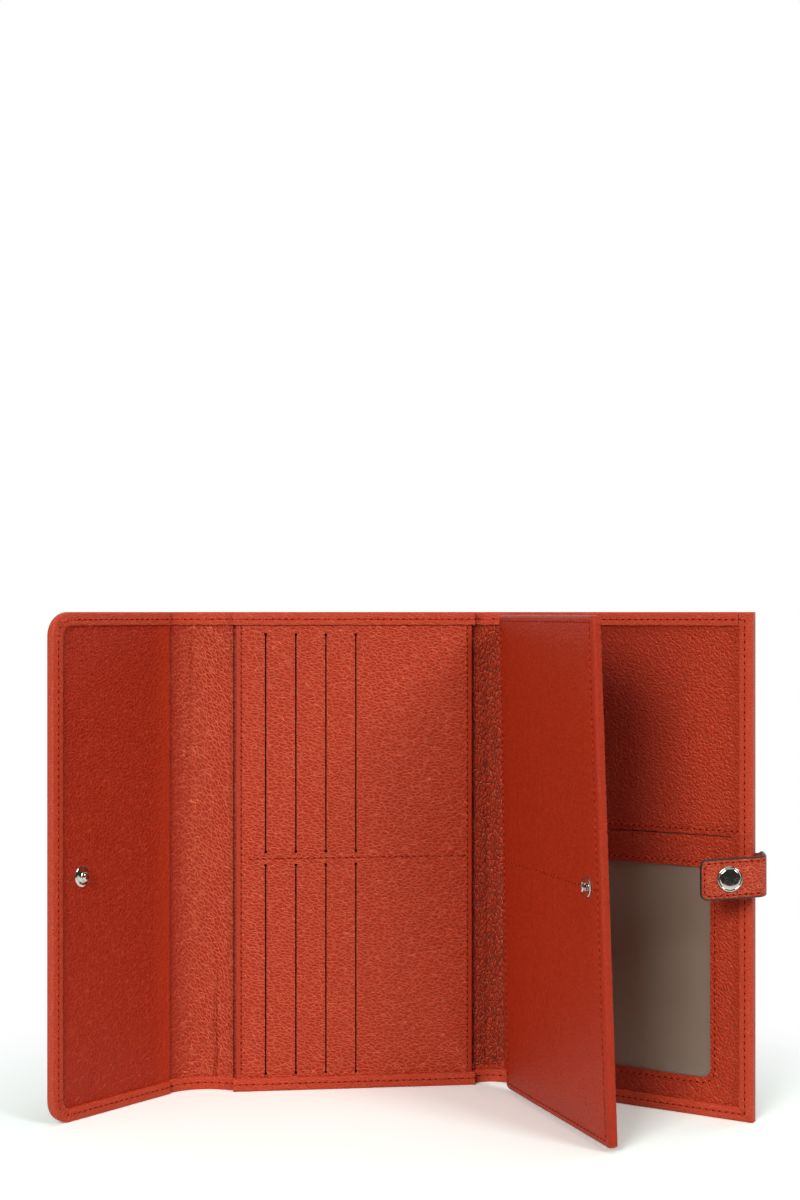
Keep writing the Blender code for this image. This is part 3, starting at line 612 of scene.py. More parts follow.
def ruffle(item, closed, corner, hem, front):
    # the cut edge of the turned leather wanders a little
    for vertex in item.data.vertices:
        p = vertex.co
        edge = min(p.z, tall - p.z)
        side = abs(closed - p.x) if closed is not None else tall
        if edge <= side + mm and side > corner:
            depth, along, across = edge, 0, 2
        elif side < edge and edge > corner:
            depth, along, across = side, 2, 0
        else:
            continue
        if p.y <= front * 0.6:
            share = clamp((depth - 0.5 * hem) / (0.5 * hem))
            spot = p[along]
            p[across] += share * lip["sway"] * wave(spot)
            p.y -= share * lip["lift"] * wave(spot + lip["later"])


def pleat(item, closed, corner, hem, front):
    # the turned leather gathers in small pleats round a rounded corner
    side = 1.0 if closed > 0 else -1.0
    for vertex in item.data.vertices:
        p = vertex.co
        x = (p.x - (closed - side * corner)) * side
        z = corner - min(p.z, tall - p.z)
        if x > -mm and z > -mm and p.y < front * 0.5:
            inner = 1.0 - clamp((hypot(x, z) - (corner - hem)) / hem)
            p.y += gather["depth"] * inner * (cos(atan2(z, x) * gather["count"]) - gather["sink"])


def mitreCut(item, side, look):
    # the turned edges meet on a slant at the foot and side by side at the top
    hem = wallet["hem"]
    deep, half = look["mitreDepth"], look["mitreWidth"] / 2.0
    for x, z, lean, length in ((side, 0.0, 45.0, 1.5 * hem), (side - hem, tall, -90.0, 1.1 * hem)):
        groove = addBox("mitre", (-length, 0.2 * mm), (-deep, deep), (-half, half))
        spot = Matrix.Translation((x, look["hemFront"], z))
        groove.data.transform(spot @ Matrix.Rotation(radians(lean), 4, "Y"))
        cutWith(item, groove)


def makeCover(section, x, look, closed=None):
    node = section + "_cover"
    skin = coverSkin(section + "Skin", x, look, closed)
    finishPiece(skin, section, coverLeather, [node])
    hem = hemRing(section + "Hem", x, look, closed)
    if "mitreWidth" in look:
        mitreCut(hem, closed, look)
    finishPiece(hem, section, hemLeather, [node])


stitch = {"thread": (1.75 * mm, 0.56 * mm, 0.58 * mm), "hole": (1.45 * mm, 0.14 * mm, 0.62 * mm),
          "pitch": 2.75 * mm, "tightPitch": 2.7 * mm, "finePitch": 2.6 * mm, "proud": 0.06 * mm, "tilt": 9.0,
          "inset": 3.0 * mm, "dividerZ": 96.9 * mm, "smooth": 80.0}


def threadGrain(size, finish):
    clearSelection()
    bpy.ops.mesh.primitive_uv_sphere_add(segments=6, ring_count=4, radius=0.5, rotation=(0.0, pi / 2.0, 0.0))
    item = bpy.context.object
    bakePlace(location=False, scale=False)
    item.scale = size
    bakePlace(location=False, rotation=False)
    dress(item, finish)
    return item


def stitchRow(points, level, pitch=stitch["pitch"], backLevel=None, closedPath=False):
    # stitches follow (x, z) points; level is where the thread's middle lies
    points = list(points) + ([points[0]] if closedPath else [])
    lengths = [hypot(b[0] - a[0], b[1] - a[1]) for a, b in zip(points, points[1:])]
    total = sum(lengths)
    count = max(int(total / pitch), 1)
    step = total / count
    short = min(1.0, pitch / stitch["pitch"])
    patterns = []
    # the holes are dark flat shapes between the threads: painted shade where the thread dives into the leather
    for kind, finish, shift, proud in (("thread", thread, 0.5, stitch["proud"]), ("hole", needleHoleShade, 1.0, 0.0)):
        long, deep, high = stitch[kind]
        patterns.append((threadGrain((long * short, deep, high), finish), shift * step, proud))
    levels = [(level, -1.0)] if backLevel is None else [(level, -1.0), (backLevel, 1.0)]
    copies = []
    for number in range(count):
        for pattern, shift, proud in patterns:
            along = min(number * step + shift, total - 0.1 * mm)
            spot = 0
            while along > lengths[spot] and spot < len(lengths) - 1:
                along -= lengths[spot]
                spot += 1
            a, b = points[spot], points[spot + 1]
            share = along / lengths[spot]
            angle = atan2(b[1] - a[1], b[0] - a[0])
            for y, out in levels:
                copy = pattern.copy()
                copy.data = pattern.data.copy()
                bpy.context.collection.objects.link(copy)
                lean = angle - radians(stitch["tilt"]) * out
                seat = (a[0] + (b[0] - a[0]) * share, y + out * proud, a[1] + (b[1] - a[1]) * share)
                copy.data.transform(Matrix.Translation(seat) @ Matrix.Rotation(-lean, 4, "Y"))
                copies.append(copy)
    for pattern, shift, proud in patterns:
        bpy.data.objects.remove(pattern, do_unlink=True)
    item = joinAll("stitches", copies)
    smoothShade(item, stitch["smooth"])
    return item


def hemRows(x, look):
    return [stitchRow([(x[0], z), (x[1], z)], look["hemFront"], backLevel=outside)
            for z in (stitch["inset"], tall - stitch["inset"])]


def finishStitches(name, section, rows):
    finishPiece(joinAll(name, rows), section, angle=stitch["smooth"])


def roundedPath(low, high, corners, radius, steps=6):
    # outline of a rectangle from (x, z) to (x, z), with the named corners rounded
    (x0, z0), (x1, z1) = low, high
    path = []
    for key, cx, cz, start in (("bl", x0, z0, 180), ("br", x1, z0, 270), ("tr", x1, z1, 0), ("tl", x0, z1, 90)):
        if key in corners:
            mx = cx + (radius if cx == x0 else -radius)
            mz = cz + (radius if cz == z0 else -radius)
            for number in range(steps + 1):
                angle = radians(start + 90.0 * number / steps)
                path.append((mx + radius * cos(angle), mz + radius * sin(angle)))
        else:
            path.append((cx, cz))
    return path


cardSlit = {"width": 0.6 * mm, "punch": 0.65 * mm, "rows": [(99.7 * mm, 190.5 * mm), (7.1 * mm, 94.1 * mm)],
            "above": 1.2 * mm, "below": 1.6 * mm, "stations": (-1.2 * mm, 0.9 * mm, 2.2 * mm, 4.5 * mm, 8.0 * mm),
            "hump": 1.6 * mm, "farSide": 1.9 * mm, "nearSide": 1.1 * mm, "fade": 6 * mm, "levels": 14,
            "merge": 0.001 * mm}


def slitCutters(name, x, y):
    cutters = []
    half = cardSlit["width"] / 2.0
    for low, high in cardSlit["rows"]:
        cutters.append(addBox(name, (x - half, x + half), y, (low, high)))
        for z in (low, high):
            cutters.append(addShape(name, bpy.ops.mesh.primitive_cylinder_add, vertices=12, depth=y[1] - y[0],
                                    radius=cardSlit["punch"], location=(x, (y[0] + y[1]) / 2.0, z),
                                    rotation=(pi / 2.0, 0.0, 0.0)))
    return cutters


def slitPanel(name, x, y, z, look, outward=-1.0):
    item = addBox(name, x, y, z)
    face = y[0] if outward < 0 else y[1]
    span = sorted((face + outward * cardSlit["above"], face - outward * cardSlit["below"]))
    for spot in look["slits"]:
        for cutter in slitCutters(name + "Cut", spot, span):
            cutWith(item, cutter)
    openEdit(item)
    pickAll()
    bpy.ops.mesh.remove_doubles(threshold=cardSlit["merge"])
    bpy.ops.mesh.fill_holes(sides=8)
    bpy.ops.mesh.normals_make_consistent(inside=False)
    bpy.ops.mesh.quads_convert_to_tris()
    closeEdit()
    stations = [spot + away for spot in look["slits"] for away in cardSlit["stations"]]
    divide(item, 0, [s for s in stations if x[0] + 0.5 * mm < s < x[1] - 0.5 * mm])
    divide(item, 2, spread(z[0], z[1], cardSlit["levels"]))

    def pillow(p):
        # the leather stands a little proud over the cards' edges
        lift = 0.0
        for spot in look["slits"]:
            reach = p.x - spot - cardSlit["hump"]
            lift += exp(-(reach / (cardSlit["farSide"] if reach > 0 else cardSlit["nearSide"])) ** 2)
        fade = cardSlit["fade"]
        rowShare = max(min(1.0, (p.z - low) / fade, (high - p.z) / fade) for low, high in cardSlit["rows"])
        return Vector((p.x, p.y + outward * look["swellBy"] * min(lift, 1.0) * max(rowShare, 0.0), p.z))
    shapeBy(item, pillow)
    return item


middle = {"width": 104.2 * mm, "hemFront": -5.0 * mm, "panelY": (-3.95 * mm, -3.1 * mm), "relief": 2.4 * mm,
          "inset": 1.1 * mm, "slits": [14.7 * mm, 27.3 * mm, 39.9 * mm, 52.5 * mm], "swellBy": 0.35 * mm,
          "foldedRound": 0.3 * mm, "sideSeams": (2.1 * mm, 2.0 * mm), "dividerEnds": (3.5 * mm, 3.2 * mm)}


def makeMiddle():
    x = (tuck, middle["width"] - tuck)
    makeCover("middle", x, middle)
    inner = (middle["relief"], middle["width"] - middle["relief"])
    level = middle["panelY"][0]
    panel = slitPanel("cardPanel", inner, middle["panelY"], (middle["inset"], tall - middle["inset"]), middle)
    bevelPicked(panel, lambda a, b: near(a.y, b.y, 0.1 * mm) and near(a.y, level, 0.02 * mm) and
                any(edgeAt(a, b, 0, end) for end in inner), middle["foldedRound"], 2)
    finishPiece(panel, "middle", cardLeather, ["card_panel_leather"])
    rows = hemRows(x, middle)
    hem = wallet["hem"] + mm
    for edge in (inner[0] + middle["sideSeams"][0], inner[1] - middle["sideSeams"][1]):
        rows.append(stitchRow([(edge, hem), (edge, tall - hem)], level, stitch["tightPitch"], backLevel=outside))
    start, end = middle["dividerEnds"]
    z = stitch["dividerZ"]
    rows.append(stitchRow([(inner[0] + start, z), (inner[1] - end, z)], level, stitch["finePitch"]))
    finishStitches("middleStitches", "middle", rows)
    print("middle panel made")


# A spine's chord runs away from the middle panel, and its linings start at the foot's height.
flapSpine = {"chord": -26.2 * mm, "bulge": 4.0 * mm, "hemFront": -2.1 * mm, "liningFront": -1.05 * mm, "cuts": 7,
             "foot": 1.0 * mm}
rightSpine = {"chord": 20.1 * mm, "bulge": 4.5 * mm, "hemFront": -1.9 * mm, "liningFront": -0.85 * mm, "cuts": 7,
              "foot": 7.8 * mm}


def spineHalf(name, section, x, look, finish, nodes):
    # one half of a spine: skin, hem, lining and threads bend together over one fold
    cuts = spread(x[0], x[1], look["cuts"])
    skin = coverSkin(name + "Skin", x, look, cuts=cuts)
    hem = hemRing(name + "Hem", x, look, cuts=cuts)
    lining = addBox(name + "Lining", x, (look["liningFront"], -0.2 * mm),
                    (look["foot"], tall - wallet["liningInset"]))
    divide(lining, 0, cuts)
    threads = joinAll(name + "Stitches", hemRows(x, look))

    def bow(p):
        share = clamp(2.0 * p.x / look["chord"] - 1.0, -1.0)
        return Vector((p.x, p.y + look["bulge"] * (1.0 - share * share), p.z))
    for item, material, slotName in ((skin, coverLeather, "cover_leather"), (hem, hemLeather, "cover_leather"),
                                     (lining, finish, "panel_leather"), (threads, None, "panel_leather")):
        finishPiece(item, section, material, ride=False, bow=bow,
                    replaced=nodes if item is not threads else ())
        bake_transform(item)


def makeFlapSpine():
    chord = flapSpine["chord"]
    nodes = ["flap_spine_cover", "flap_spine_lining"]
    spineHalf("flapSpineInner", "flapSpine", (chord / 2.0, tuck), flapSpine, flapSpineLeather,
              nodes)
    spineHalf("flapSpineOuter", "flapSpine", (chord - tuck, chord / 2.0), flapSpine, flapSpineLeather,
              nodes)
    print("left spine made")


def makeSpine():
    chord = rightSpine["chord"]
    nodes = ["spine_cover", "spine_lining_strip"]
    spineHalf("spineInner", "spine", (-tuck, chord / 2.0), rightSpine, stripLeather,
              nodes)
    spineHalf("spineOuter", "spine", (chord / 2.0, chord + tuck), rightSpine, stripLeather,
              nodes)
    print("right spine made")


flap = {"width": 63.2 * mm, "hemFront": -2.95 * mm, "liningFront": -1.9 * mm, "corner": 9.5 * mm, "hem": 5.4 * mm,
        "liningEnd": 0.4 * mm}


def makeFlap():
    x = (-flap["width"], -tuck)
    makeCover("flap", x, flap, closed=x[0])
    inset = wallet["liningInset"]
    edge = x[0] + inset
    lining = addBox("flapLining", (edge, -flap["liningEnd"]), (flap["liningFront"], 0.0), (inset, tall - inset))
    bevelPicked(lining, lambda a, b: edgeThrough(a, b, edge), flap["corner"] - inset, 8)
    finishPiece(lining, "flap", smoothLeather, ["flap_lining"])
    gap = stitch["inset"]
    path = roundedPath((x[0] + gap, gap), (0.0, tall - gap), ("bl", "tl"), flap["corner"] - gap)
    start = path.index((0.0, tall - gap))
    row = stitchRow(path[start:] + path[:start], flap["hemFront"], backLevel=outside)
    row.name = "flapStitches"
    finishPiece(row, "flap", angle=stitch["smooth"])
    print("flap made")


passport = {"width": 102.8 * mm, "hemFront": -3.9 * mm, "panelY": (-2.85 * mm, -2.0 * mm), "relief": 2.2 * mm,
            "mitreWidth": 0.22 * mm, "mitreDepth": 0.5 * mm, "windowX": (22.0 * mm, 85.0 * mm),
            "windowZ": (15.0 * mm, 98.6 * mm), "windowCorner": 4.0 * mm, "cutRound": 0.3 * mm,
            "slitX": (10.0 * mm, 94.4 * mm), "slitZ": 111.4 * mm, "slitWidth": 0.5 * mm,
            "satinY": (-1.5 * mm, -1.1 * mm), "windowSeam": 2.0 * mm, "seamCorner": 5.5 * mm, "slitSeam": 2.2 * mm,
            "slitSeamEnds": (3.0 * mm, 6.1 * mm)}


def makePassportPanel():
    x = (tuck, passport["width"])
    makeCover("passport", x, passport, closed=x[1])
    inset = wallet["liningInset"]
    inner = (passport["relief"], x[1] - inset)
    y = passport["panelY"]
    through = (y[0] - mm, y[1] + mm)
    panel = addBox("passportPanel", inner, y, (inset, tall - inset))
    window = addBox("windowCut", passport["windowX"], through, passport["windowZ"])
    bevelPicked(window, edgeThrough, passport["windowCorner"], 8)
    cutWith(panel, window)
    z = passport["slitZ"]
    half = passport["slitWidth"] / 2.0
    cutWith(panel, addBox("slitCut", passport["slitX"], through, (z - half, z + half)))

    def windowRim(a, b):
        within = all(inner[0] + mm < p.x < inner[1] - mm for p in (a, b)) and 2 * mm < a.z < tall - 2 * mm
        atSlit = near(a.z, z, mm) and near(b.z, z, mm)
        return edgeAt(a, b, 1, y[0]) and within and not atSlit and hypot(a.x - b.x, a.z - b.z) > 0.1 * mm
    bevelPicked(panel, windowRim, passport["cutRound"], 2)
    finishPiece(panel, "passport", passportLeather, ["passport_panel_leather"])
    backing = addBox("satinBacking", (inner[0] + mm, inner[1] - mm), passport["satinY"], (2 * mm, tall - 2 * mm))
    finishPiece(backing, "passport", satin, ["passport_pocket_lining"])
    edge = stitch["inset"]
    rows = [stitchRow([(x[0], tall - edge), (x[1] - edge, tall - edge), (x[1] - edge, edge), (x[0], edge)],
                      passport["hemFront"], backLevel=outside)]
    gap = passport["windowSeam"]
    (left, right), (low, high) = passport["windowX"], passport["windowZ"]
    around = roundedPath((left - gap, low - gap), (right + gap, high + gap), ("bl", "br", "tr", "tl"),
                         passport["seamCorner"])
    rows.append(stitchRow(around, y[0], stitch["tightPitch"], closedPath=True))
    start, end = passport["slitSeamEnds"]
    seamZ = z + passport["slitSeam"]
    rows.append(stitchRow([(inner[0] + start, seamZ), (x[1] - end, seamZ)], y[0], stitch["finePitch"]))
    finishStitches("passportStitches", "passport", rows)
    print("passport panel made")


leaf = {"x": (0.8 * mm, 94.4 * mm), "z": (1.5 * mm, 198.9 * mm), "thick": 3.65 * mm, "corner": 3.0 * mm,
        "edge": 1.5 * mm, "slits": leafSlits, "swellBy": 0.3 * mm, "frontBack": 0.7 * mm,
        "cloth": (0.72 * mm, 0.6 * mm), "backThick": 0.75 * mm, "backInset": 0.9 * mm, "seam": 2.6 * mm,
        "outerSeam": 3.4 * mm, "dividerEnds": (4.6 * mm, 5.6 * mm)}


def makeLeaf():
    x, z = leaf["x"], leaf["z"]
    levels = spread(z[0], z[1], cardSlit["levels"])
    half = leaf["thick"] / 2.0
    front = addBox("leafFront", x, (-half, half - leaf["frontBack"]), z)
    bevelPicked(front, edgeThrough, leaf["corner"], 8)
    bevelPicked(front, lambda a, b: edgeAt(a, b, 1, -half), leaf["edge"], 4)
    divide(front, 2, levels)
    divide(front, 0, spread(x[0], x[1], 6))
    finishPiece(front, "leaf", pageLeather, ["leaf_front_leather"])
    deep, shallow = leaf["cloth"]
    cloth = addBox("leafPocketCloth", (x[0] + 2 * mm, x[1] - 2 * mm), (half - deep, half - shallow),
                   (z[0] + 2 * mm, z[1] - 2 * mm))
    divide(cloth, 2, levels)
    inside = [f"leaf_{row}_pocket_lining_{n}" for row in ("upper", "lower") for n in range(1, 5)]
    finishPiece(cloth, "leaf", pocketCloth, ["leaf_core_lining"] + inside)
    edge = leaf["backInset"]
    backPanel = slitPanel("leafBack", (x[0] + edge, x[1] - edge), (half - leaf["backThick"], half),
                          (z[0] + edge, z[1] - edge), leaf, outward=1.0)
    finishPiece(backPanel, "leaf", panelLeather, ["leaf_back_leather"])
    left, right = x[0] + leaf["seam"], x[1] - leaf["outerSeam"]
    low, high = z[0] + leaf["seam"], z[1] - leaf["seam"]
    start, end = leaf["dividerEnds"]
    middleZ = stitch["dividerZ"]
    ring = [(right, high), (left, high), (left, low), (right, low)]
    rows = [stitchRow(ring, -half, backLevel=half, closedPath=True),
            stitchRow([(x[0] + start, middleZ), (x[1] - end, middleZ)], -half, backLevel=half)]
    finishStitches("leafStitches", "leaf", rows)
    print("page made")


hinge = {"z": (8.1 * mm, 194.2 * mm), "thick": 0.9 * mm, "length": 7.3 * mm, "root": 3.6 * mm, "overlap": 1.4 * mm,
         "bend": 1.2 * mm, "pageBend": 1.0 * mm}


def followPage(item):
    # the hinge leans with the page at one edge and stays straight at the other
    start = Vector(worldPoint("strip", 0.0))
    line = Vector(worldPoint("strip", hinge["length"])) - start
    for vertex in item.data.vertices:
        share = clamp((vertex.co - start).dot(line) / line.length_squared)
        vertex.co.x += pageLean["shift"] * share * lowShare(vertex.co.z)


def turnPast(item, spot, angle, side):
    # what lies past the spot, on this side of it, turns about it
    def turned(p):
        past = p.x - spot
        if past * side <= 0:
            return p
        return Vector((spot + past * cos(angle) - p.y * sin(angle), past * sin(angle) + p.y * cos(angle), p.z))
    shapeBy(item, turned)


def makeHinge():
    # the leather that carries the page bends at two folds, so it is two pieces
    half = hinge["thick"] / 2.0
    length = hinge["length"]
    stripTurn = sections["strip"][0]
    for name, x, cuts, spot, turn, node, bodies, bend in (
            ("pageHinge", (length / 2.0, length + hinge["overlap"]), 8, length, sections["leaf"][0],
             "leaf_hinge_strip", ("leaf_strip", "leaf"), (length - hinge["bend"], length + hinge["pageBend"])),
            ("pageHingeRoot", (-hinge["root"], length / 2.0), 10, 0.0, sections["spine"][0] - 90.0,
             "leaf_hinge_tongue", ("spine", "leaf_strip"), (-hinge["bend"], hinge["bend"]))):
        strip = addBox(name, x, (-half, half), hinge["z"])
        divide(strip, 0, spread(x[0], x[1], cuts))
        turnPast(strip, spot, radians(turn - stripTurn), 1.0 if spot else -1.0)
        finishPiece(strip, "strip", panelLeather, [node], ride=False)
        followPage(strip)
        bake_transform(strip)
    print("page hinge made")


tab = {"thick": 1.75 * mm, "paint": 0.75 * mm, "droop": 0.075, "droopFrom": 20 * mm, "height": 16.0 * mm,
       "snapHeight": 97.2 * mm, "root": 14.0 * mm, "bend": 3.4 * mm, "depth": 14.5 * mm, "length": 26.0 * mm,
       "tip": 3.0 * mm, "turn": 28.0, "cap": 14.7 * mm, "pastSeam": 1.2 * mm, "turnEnd": 1.6 * mm,
       "turnBow": 0.35 * mm, "seamInset": 1.7 * mm, "seamPitch": 2.3 * mm, "seamOut": 0.05 * mm,
       "blendFrom": 0.2 * mm, "blendTo": -2.4 * mm}


def tabFrame():
    x, y, z = folds["tab_fold"]
    turn = radians(sections["passport"][0] + tab["turn"])
    return Matrix.Translation((x, y, 0.0)) @ Matrix.Rotation(turn, 4, "Z")


def strapPath():
    # middle line in the tab's own frame, from the seam on the back to the tip
    turn = radians(tab["turn"])
    low = -tab["depth"]
    bend = tab["bend"]
    drop = tab["turnEnd"]
    sewn = Vector((cos(turn), -sin(turn)))  # the back of the panel, seen from the turned tab
    out = [-sewn * (tab["root"] * (1.0 - number / 8.0) + tab["pastSeam"]) for number in range(9)]
    seamEnd = out[-1]
    for number in range(1, 6):  # round the panel's edge
        angle = -turn + (turn - pi / 2.0) * number / 6.0
        spot = seamEnd.lerp(Vector((0.0, -drop)), number / 6.0)
        aside = Vector((cos(angle + pi / 2.0), sin(angle + pi / 2.0)))
        out.append(spot + aside * tab["turnBow"] * sin(pi * number / 6.0))
    for number in range(7):  # forward, past the page
        out.append(Vector((0.0, -drop + (low + bend + drop) * number / 6.0)))
    for number in range(1, 9):  # the front bend
        angle = (pi / 2.0) * number / 8.0
        out.append(Vector((-bend + bend * cos(angle), low + bend - bend * sin(angle))))
    straight = tab["length"] - bend - tab["thick"] / 2.0
    for number in range(1, 8):  # across to the tip
        out.append(Vector((-bend - straight * number / 7.0, low)))
    return out


def makeTab():
    path = strapPath()
    lengths = [0.0]
    for a, b in zip(path, path[1:]):
        lengths.append(lengths[-1] + (b - a).length)
    total = lengths[-1]
    half = tab["thick"] / 2.0
    z = (tab["snapHeight"] - tab["height"] / 2.0, tab["snapHeight"] + tab["height"] / 2.0)
    strap = addBox("closureTab", (0.0, total), (-half, half), z)
    bevelPicked(strap, lambda a, b: edgeThrough(a, b, total), tab["tip"], 8)
    dress(strap, tabLeather, edgePaint)

    def paintSteeper(limit):
        # faces that turn away from the flat get the edge paint
        pick(strap, "FACE", lambda c, n: abs(n.y) < limit)
        strap.active_material_index = 1
        bpy.ops.object.material_slot_assign()
        closeEdit()
    paintSteeper(0.5)
    bevelPicked(strap, lambda a, b: near(a.y, b.y) and near(abs(a.y), half), tab["paint"], 4)
    paintSteeper(0.995)
    divide(strap, 0, lengths[1:-1])

    def spotAt(along):
        # the path's place and direction at a length along it
        last = len(path) - 2
        n = next((n for n in range(last) if along <= lengths[n + 1]), last)
        a, b = path[n], path[n + 1]
        here = (b - a).normalized()
        before = (a - path[n - 1]).normalized() if n else here
        after = (path[n + 2] - b).normalized() if n < last else here
        share = (along - lengths[n]) / (lengths[n + 1] - lengths[n])
        ahead = (before + here).normalized().lerp((here + after).normalized(), share).normalized()
        return a.lerp(b, share), ahead

    capAlong = total - tab["length"] + tab["cap"]

    def wrap(p):
        # the free end droops a little about its cap
        spot, ahead = spotAt(p.x)
        spot = spot + Vector((-ahead.y, ahead.x)) * p.y
        free = clamp((p.x - tab["root"]) / (6 * mm))
        return Vector((spot.x, spot.y, p.z - free * tab["droop"] * max(p.x - capAlong, -tab["droopFrom"])))

    inset = tab["seamInset"]
    pitch = tab["seamPitch"]
    level = half + tab["seamOut"]
    frontEnd = total - tab["length"] + 1.5 * mm
    ring = roundedPath((frontEnd, z[0] + inset), (total - inset, z[1] - inset), ("br", "tr"),
                       tab["tip"] - 0.6 * mm)
    seam = roundedPath((inset, z[0] + inset), (tab["root"] - mm, z[1] - inset), (), 0.0)
    threads = joinAll("tabStitches", [stitchRow(ring, level, pitch, backLevel=-level),
                                      stitchRow(seam, level, pitch, closedPath=True)])
    turn = tabFrame()
    for item in (strap, threads):
        markPanel(item)
        shapeBy(item, wrap)
        smoothShade(item, 50.0)
        item.data.transform(turn)
        openEdit(item)
        pickAll()
        bpy.ops.mesh.normals_make_consistent(inside=False)
        closeEdit()
        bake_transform(item)
    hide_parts("tab_root", "tab_leather", "tab_lining")
    print("closure tab made")


# Outlines of the turned metal pieces, (radius, height) in mm
snap = {"steps": 40, "merge": 0.01 * mm, "smooth": 35.0,
        "stud": [(0.0, 2.6), (1.0, 2.58), (1.6, 2.4), (1.92, 2.05), (1.9, 1.75), (1.55, 1.45),
                 (1.5, 1.0), (1.9, 0.75), (3.0, 0.62), (3.8, 0.5), (4.15, 0.3), (4.2, 0.0)],
        "cap": [(0.0, 1.18), (2.0, 1.175), (3.4, 1.15), (3.85, 1.08), (4.02, 0.94), (4.12, 0.80), (4.26, 0.92),
                (4.45, 0.95), (4.66, 0.88), (4.82, 0.72), (4.92, 0.5), (4.98, 0.25), (4.95, 0.0)],
        "socket": [(0.0, 0.35), (2.3, 0.35), (2.4, 0.5), (2.4, 1.7), (2.7, 2.05), (3.0, 2.1), (3.9, 2.0),
                   (4.3, 1.7), (4.4, 1.2), (4.4, 0.0)],
        "flapX": 47.2 * mm, "flapZ": 95.5 * mm, "flapY": -2.0 * mm, "outerY": 0.9 * mm, "pageX": 82.0 * mm,
        "pageLift": 0.1 * mm, "tabLift": 0.05 * mm, "capX": 0.9 * mm}


def turnedPiece(name, profile):
    item = addShape(name, bpy.ops.mesh.primitive_plane_add, size=mm)
    openEdit(item, "VERT")
    pickAll()
    bpy.ops.mesh.merge(type="CENTER")
    radius, height = profile[0]
    bpy.ops.transform.translate(value=(radius * mm, 0.0, height * mm))
    for (r0, h0), (r1, h1) in zip(profile, profile[1:] + [(0.0, profile[-1][1])]):
        bpy.ops.mesh.extrude_region_move(TRANSFORM_OT_translate={"value": ((r1 - r0) * mm, 0.0, (h1 - h0) * mm)})
    pickAll()
    bpy.ops.mesh.spin(steps=snap["steps"], angle=2.0 * pi, center=(0.0, 0.0, 0.0), axis=(0.0, 0.0, 1.0))
    pickAll()
    bpy.ops.mesh.remove_doubles(threshold=snap["merge"])
    bpy.ops.mesh.normals_make_consistent(inside=False)
    closeEdit()
    return item


def makeSnaps():
    onTab = tab["thick"] / 2.0 + snap["tabLift"]
    capX = snap["capX"] - tab["cap"]
    outerX = middle["width"] - snap["flapX"]
    pageY = -leaf["thick"] / 2.0 - snap["pageLift"]
    tabZ = tab["snapHeight"]
    inFlap, inPassport, inLeaf = (sectionMatrix(section) for section in ("flap", "passport", "leaf"))
    inTab = tabFrame()
    for name, kind, matrix, place, outwards, body, node in (
            ("flapStud", "stud", inFlap, (-snap["flapX"], snap["flapY"], snap["flapZ"]), False, "flap",
             "flap_stud"),
            ("outerSocket", "socket", inPassport, (outerX, snap["outerY"], snap["flapZ"]), True, "passport_panel",
             "outer_socket"),
            ("pageStud", "stud", inLeaf, (snap["pageX"], pageY, tabZ), False, "leaf", "leaf_stud"),
            ("tabCap", "cap", inTab, (capX, -tab["depth"] - onTab, tabZ), False, "tab", "tab_cap"),
            ("tabSocket", "socket", inTab, (capX, -tab["depth"] + onTab, tabZ), True, "tab", "tab_socket")):
        item = turnedPiece(name, snap[kind])
        turn = Matrix.Rotation(radians(-90.0 if outwards else 90.0), 4, "X")
        item.data.transform(matrix @ Matrix.Translation(place) @ turn)
        dress(item, nickel)
        smoothShade(item, snap["smooth"])
        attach(item, body)
        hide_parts(node)
    print("press studs made")


def dressFrame():
    # the nodes that stay visible get their finish by a word in their name
    byWord = {"passport_pocket_lining": satin, "board": greyBoard, "film": film, "stud": nickel, "socket": nickel,
              "post": nickel, "cap": nickel, "pocket_lining": pocketCloth, "core": pocketCloth}
    for name, node in frame["nodes"].items():
        dress(node, next((finish for word, finish in byWord.items() if word in name), panelLeather))
    print("frame nodes dressed")


dressFrame()
makeMiddle()
makeFlapSpine()
makeFlap()
makeSpine()
makePassportPanel()
makeLeaf()
makeHinge()
makeTab()
makeSnaps()

studio = {"floor": 6.0, "floorFront": -0.42, "paper": 0.92, "gain": 0.50, "paperTint": (0.86, 1.0, 1.0),
          "fadeFrom": 0.12, "fadeTo": 0.25, "ambient": (0.06, 0.32), "mirrored": (0.04, 1.0),
          "roomFrom": -0.25, "roomTo": 0.45, "roomColour": (1.0, 0.975, 0.94), "lampColour": (1.0, 0.965, 0.92),
          "aim": (0.0, 0.0, 0.1)}
lamps = {"key": {"power": 13.3, "size": 0.55, "place": (-0.62, -1.07, 0.72)},
         "fill": {"power": 7.4, "size": 0.42, "place": (0.85, -1.02, 0.85)},
         "rim": {"power": 3.6, "size": 0.7, "place": (1.25, 0.6, 0.5)},
         "top": {"power": 4.0, "size": 0.8, "place": (0.1, -0.1, 1.5)}}
white = (1.0, 1.0, 1.0)


def shownTo(f, *kinds):
    # 1 for the rays that see the white background itself
    seen = f.node("ShaderNodeLightPath")
    path = seen.socket.node
    for kind in kinds:
        seen = f.node("ShaderNodeMath", {"operation": "MAXIMUM"}, {0: seen, 1: Value(f, path.outputs[kind])})
    return seen


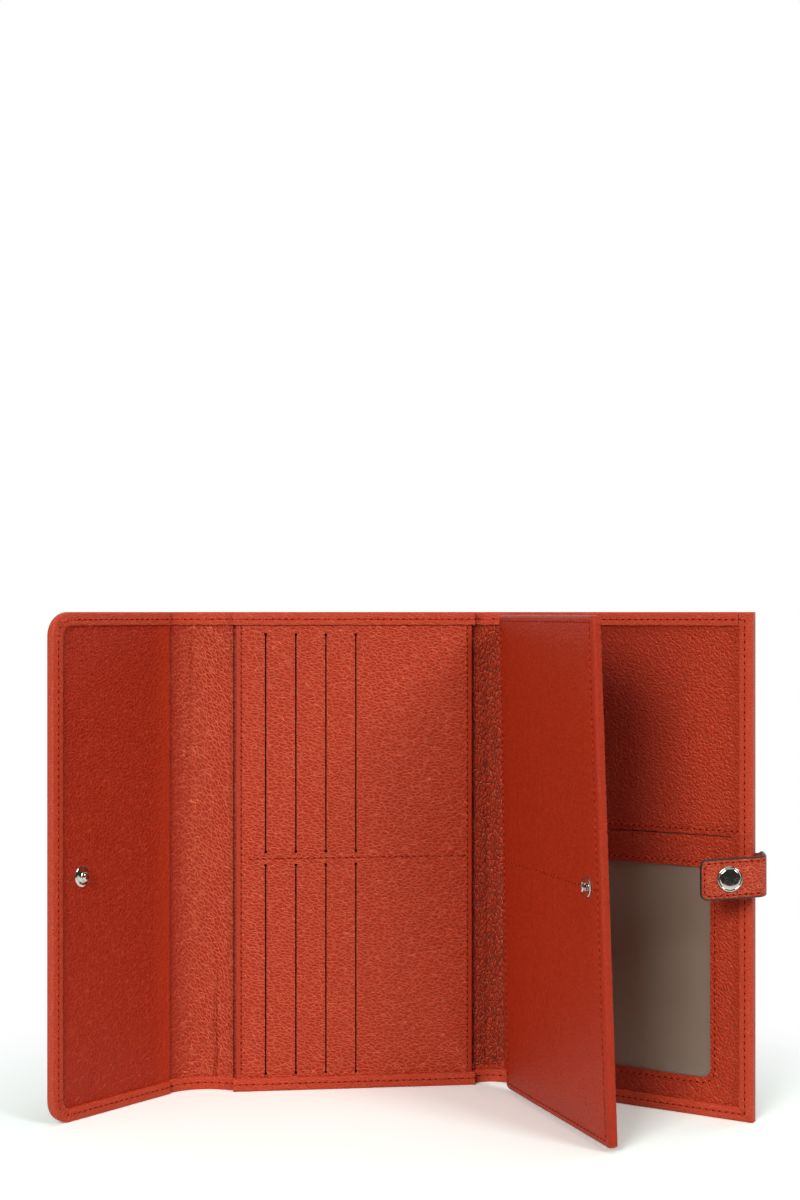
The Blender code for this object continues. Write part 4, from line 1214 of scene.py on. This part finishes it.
def makeFloor():
    floor = addShape("studioFloor", bpy.ops.mesh.primitive_plane_add, size=studio["floor"])
    for vertex in floor.data.vertices:
        vertex.co.y = max(vertex.co.y, studio["floorFront"])  # the paper ends in front, out of view
    f = newFinish("white floor")
    seen = shownTo(f, "Is Glossy Ray", "Is Transmission Ray")
    tone = f.mixColour(1.0, seen * studio["gain"] + studio["paper"], studio["paperTint"], "MULTIPLY")
    paper = f.node("ShaderNodeBsdfDiffuse", {}, {"Color": tone})
    glow = f.node("ShaderNodeEmission", {}, {"Color": white, "Strength": 1.0})
    away = f.node("ShaderNodeVectorMath", {"operation": "LENGTH"}, {0: f.objectPlace()}, out=1)
    fade = f.smooth(away, studio["fadeFrom"], studio["fadeTo"])
    dress(floor, f.shownAs(f.mixShader(seen * fade, paper, glow)))


def makeWorld():
    world = bpy.data.worlds.new("studioWorld")
    bpy.context.scene.world = world
    f = Finish(world, "World")
    seen = shownTo(f, "Is Transmission Ray")
    glossy = Value(f, f.node("ShaderNodeLightPath").socket.node.outputs["Is Glossy Ray"])
    across, deep = f.apart(f.node("ShaderNodeTexCoord"))
    behind = f.smooth(deep, studio["roomFrom"], studio["roomTo"])

    def room(colour, strength):
        return f.node("ShaderNodeBackground", {}, {"Color": colour, "Strength": strength})
    shades = [room(studio["roomColour"], behind * (high - low) + low)
              for low, high in (studio["ambient"], studio["mirrored"])]
    f.shownAs(f.mixShader(seen, f.mixShader(glossy, *shades), room(white, 1.0)))


def makeLamp(name, look):
    lamp = bpy.data.lights.new(name + "Lamp", "AREA")
    lamp.energy = look["power"]
    lamp.size = look["size"]
    lamp.color = studio["lampColour"]
    item = bpy.data.objects.new(name + "Lamp", lamp)
    bpy.context.scene.collection.objects.link(item)
    item.location = look["place"]
    item.rotation_euler = (Vector(studio["aim"]) - item.location).to_track_quat("-Z", "Y").to_euler()


view = {"lens": 54.0, "sensor": 36.0, "beside": -15.6 * mm, "before": -757.4 * mm, "height": 200 * mm,
        "turn": -6.57, "shift": 0.01, "clip": 0.01}


def makeCamera():
    x, y, z = folds["flap_spine_fold"]
    data = bpy.data.cameras.new("photoCamera")
    data.lens = view["lens"]
    data.sensor_width = view["sensor"]
    data.shift_y = view["shift"]
    data.clip_start = view["clip"]
    camera = bpy.data.objects.new("photoCamera", data)
    bpy.context.scene.collection.objects.link(camera)
    camera.location = (x + view["beside"], y + view["before"], view["height"])
    camera.rotation_euler = (radians(90.0), 0.0, radians(view["turn"]))
    bpy.context.scene.camera = camera


makeFloor()
makeWorld()
for lampName, lampLook in lamps.items():
    makeLamp(lampName, lampLook)
makeCamera()
bpy.context.scene.view_settings.view_transform = "Standard"
print("studio made")
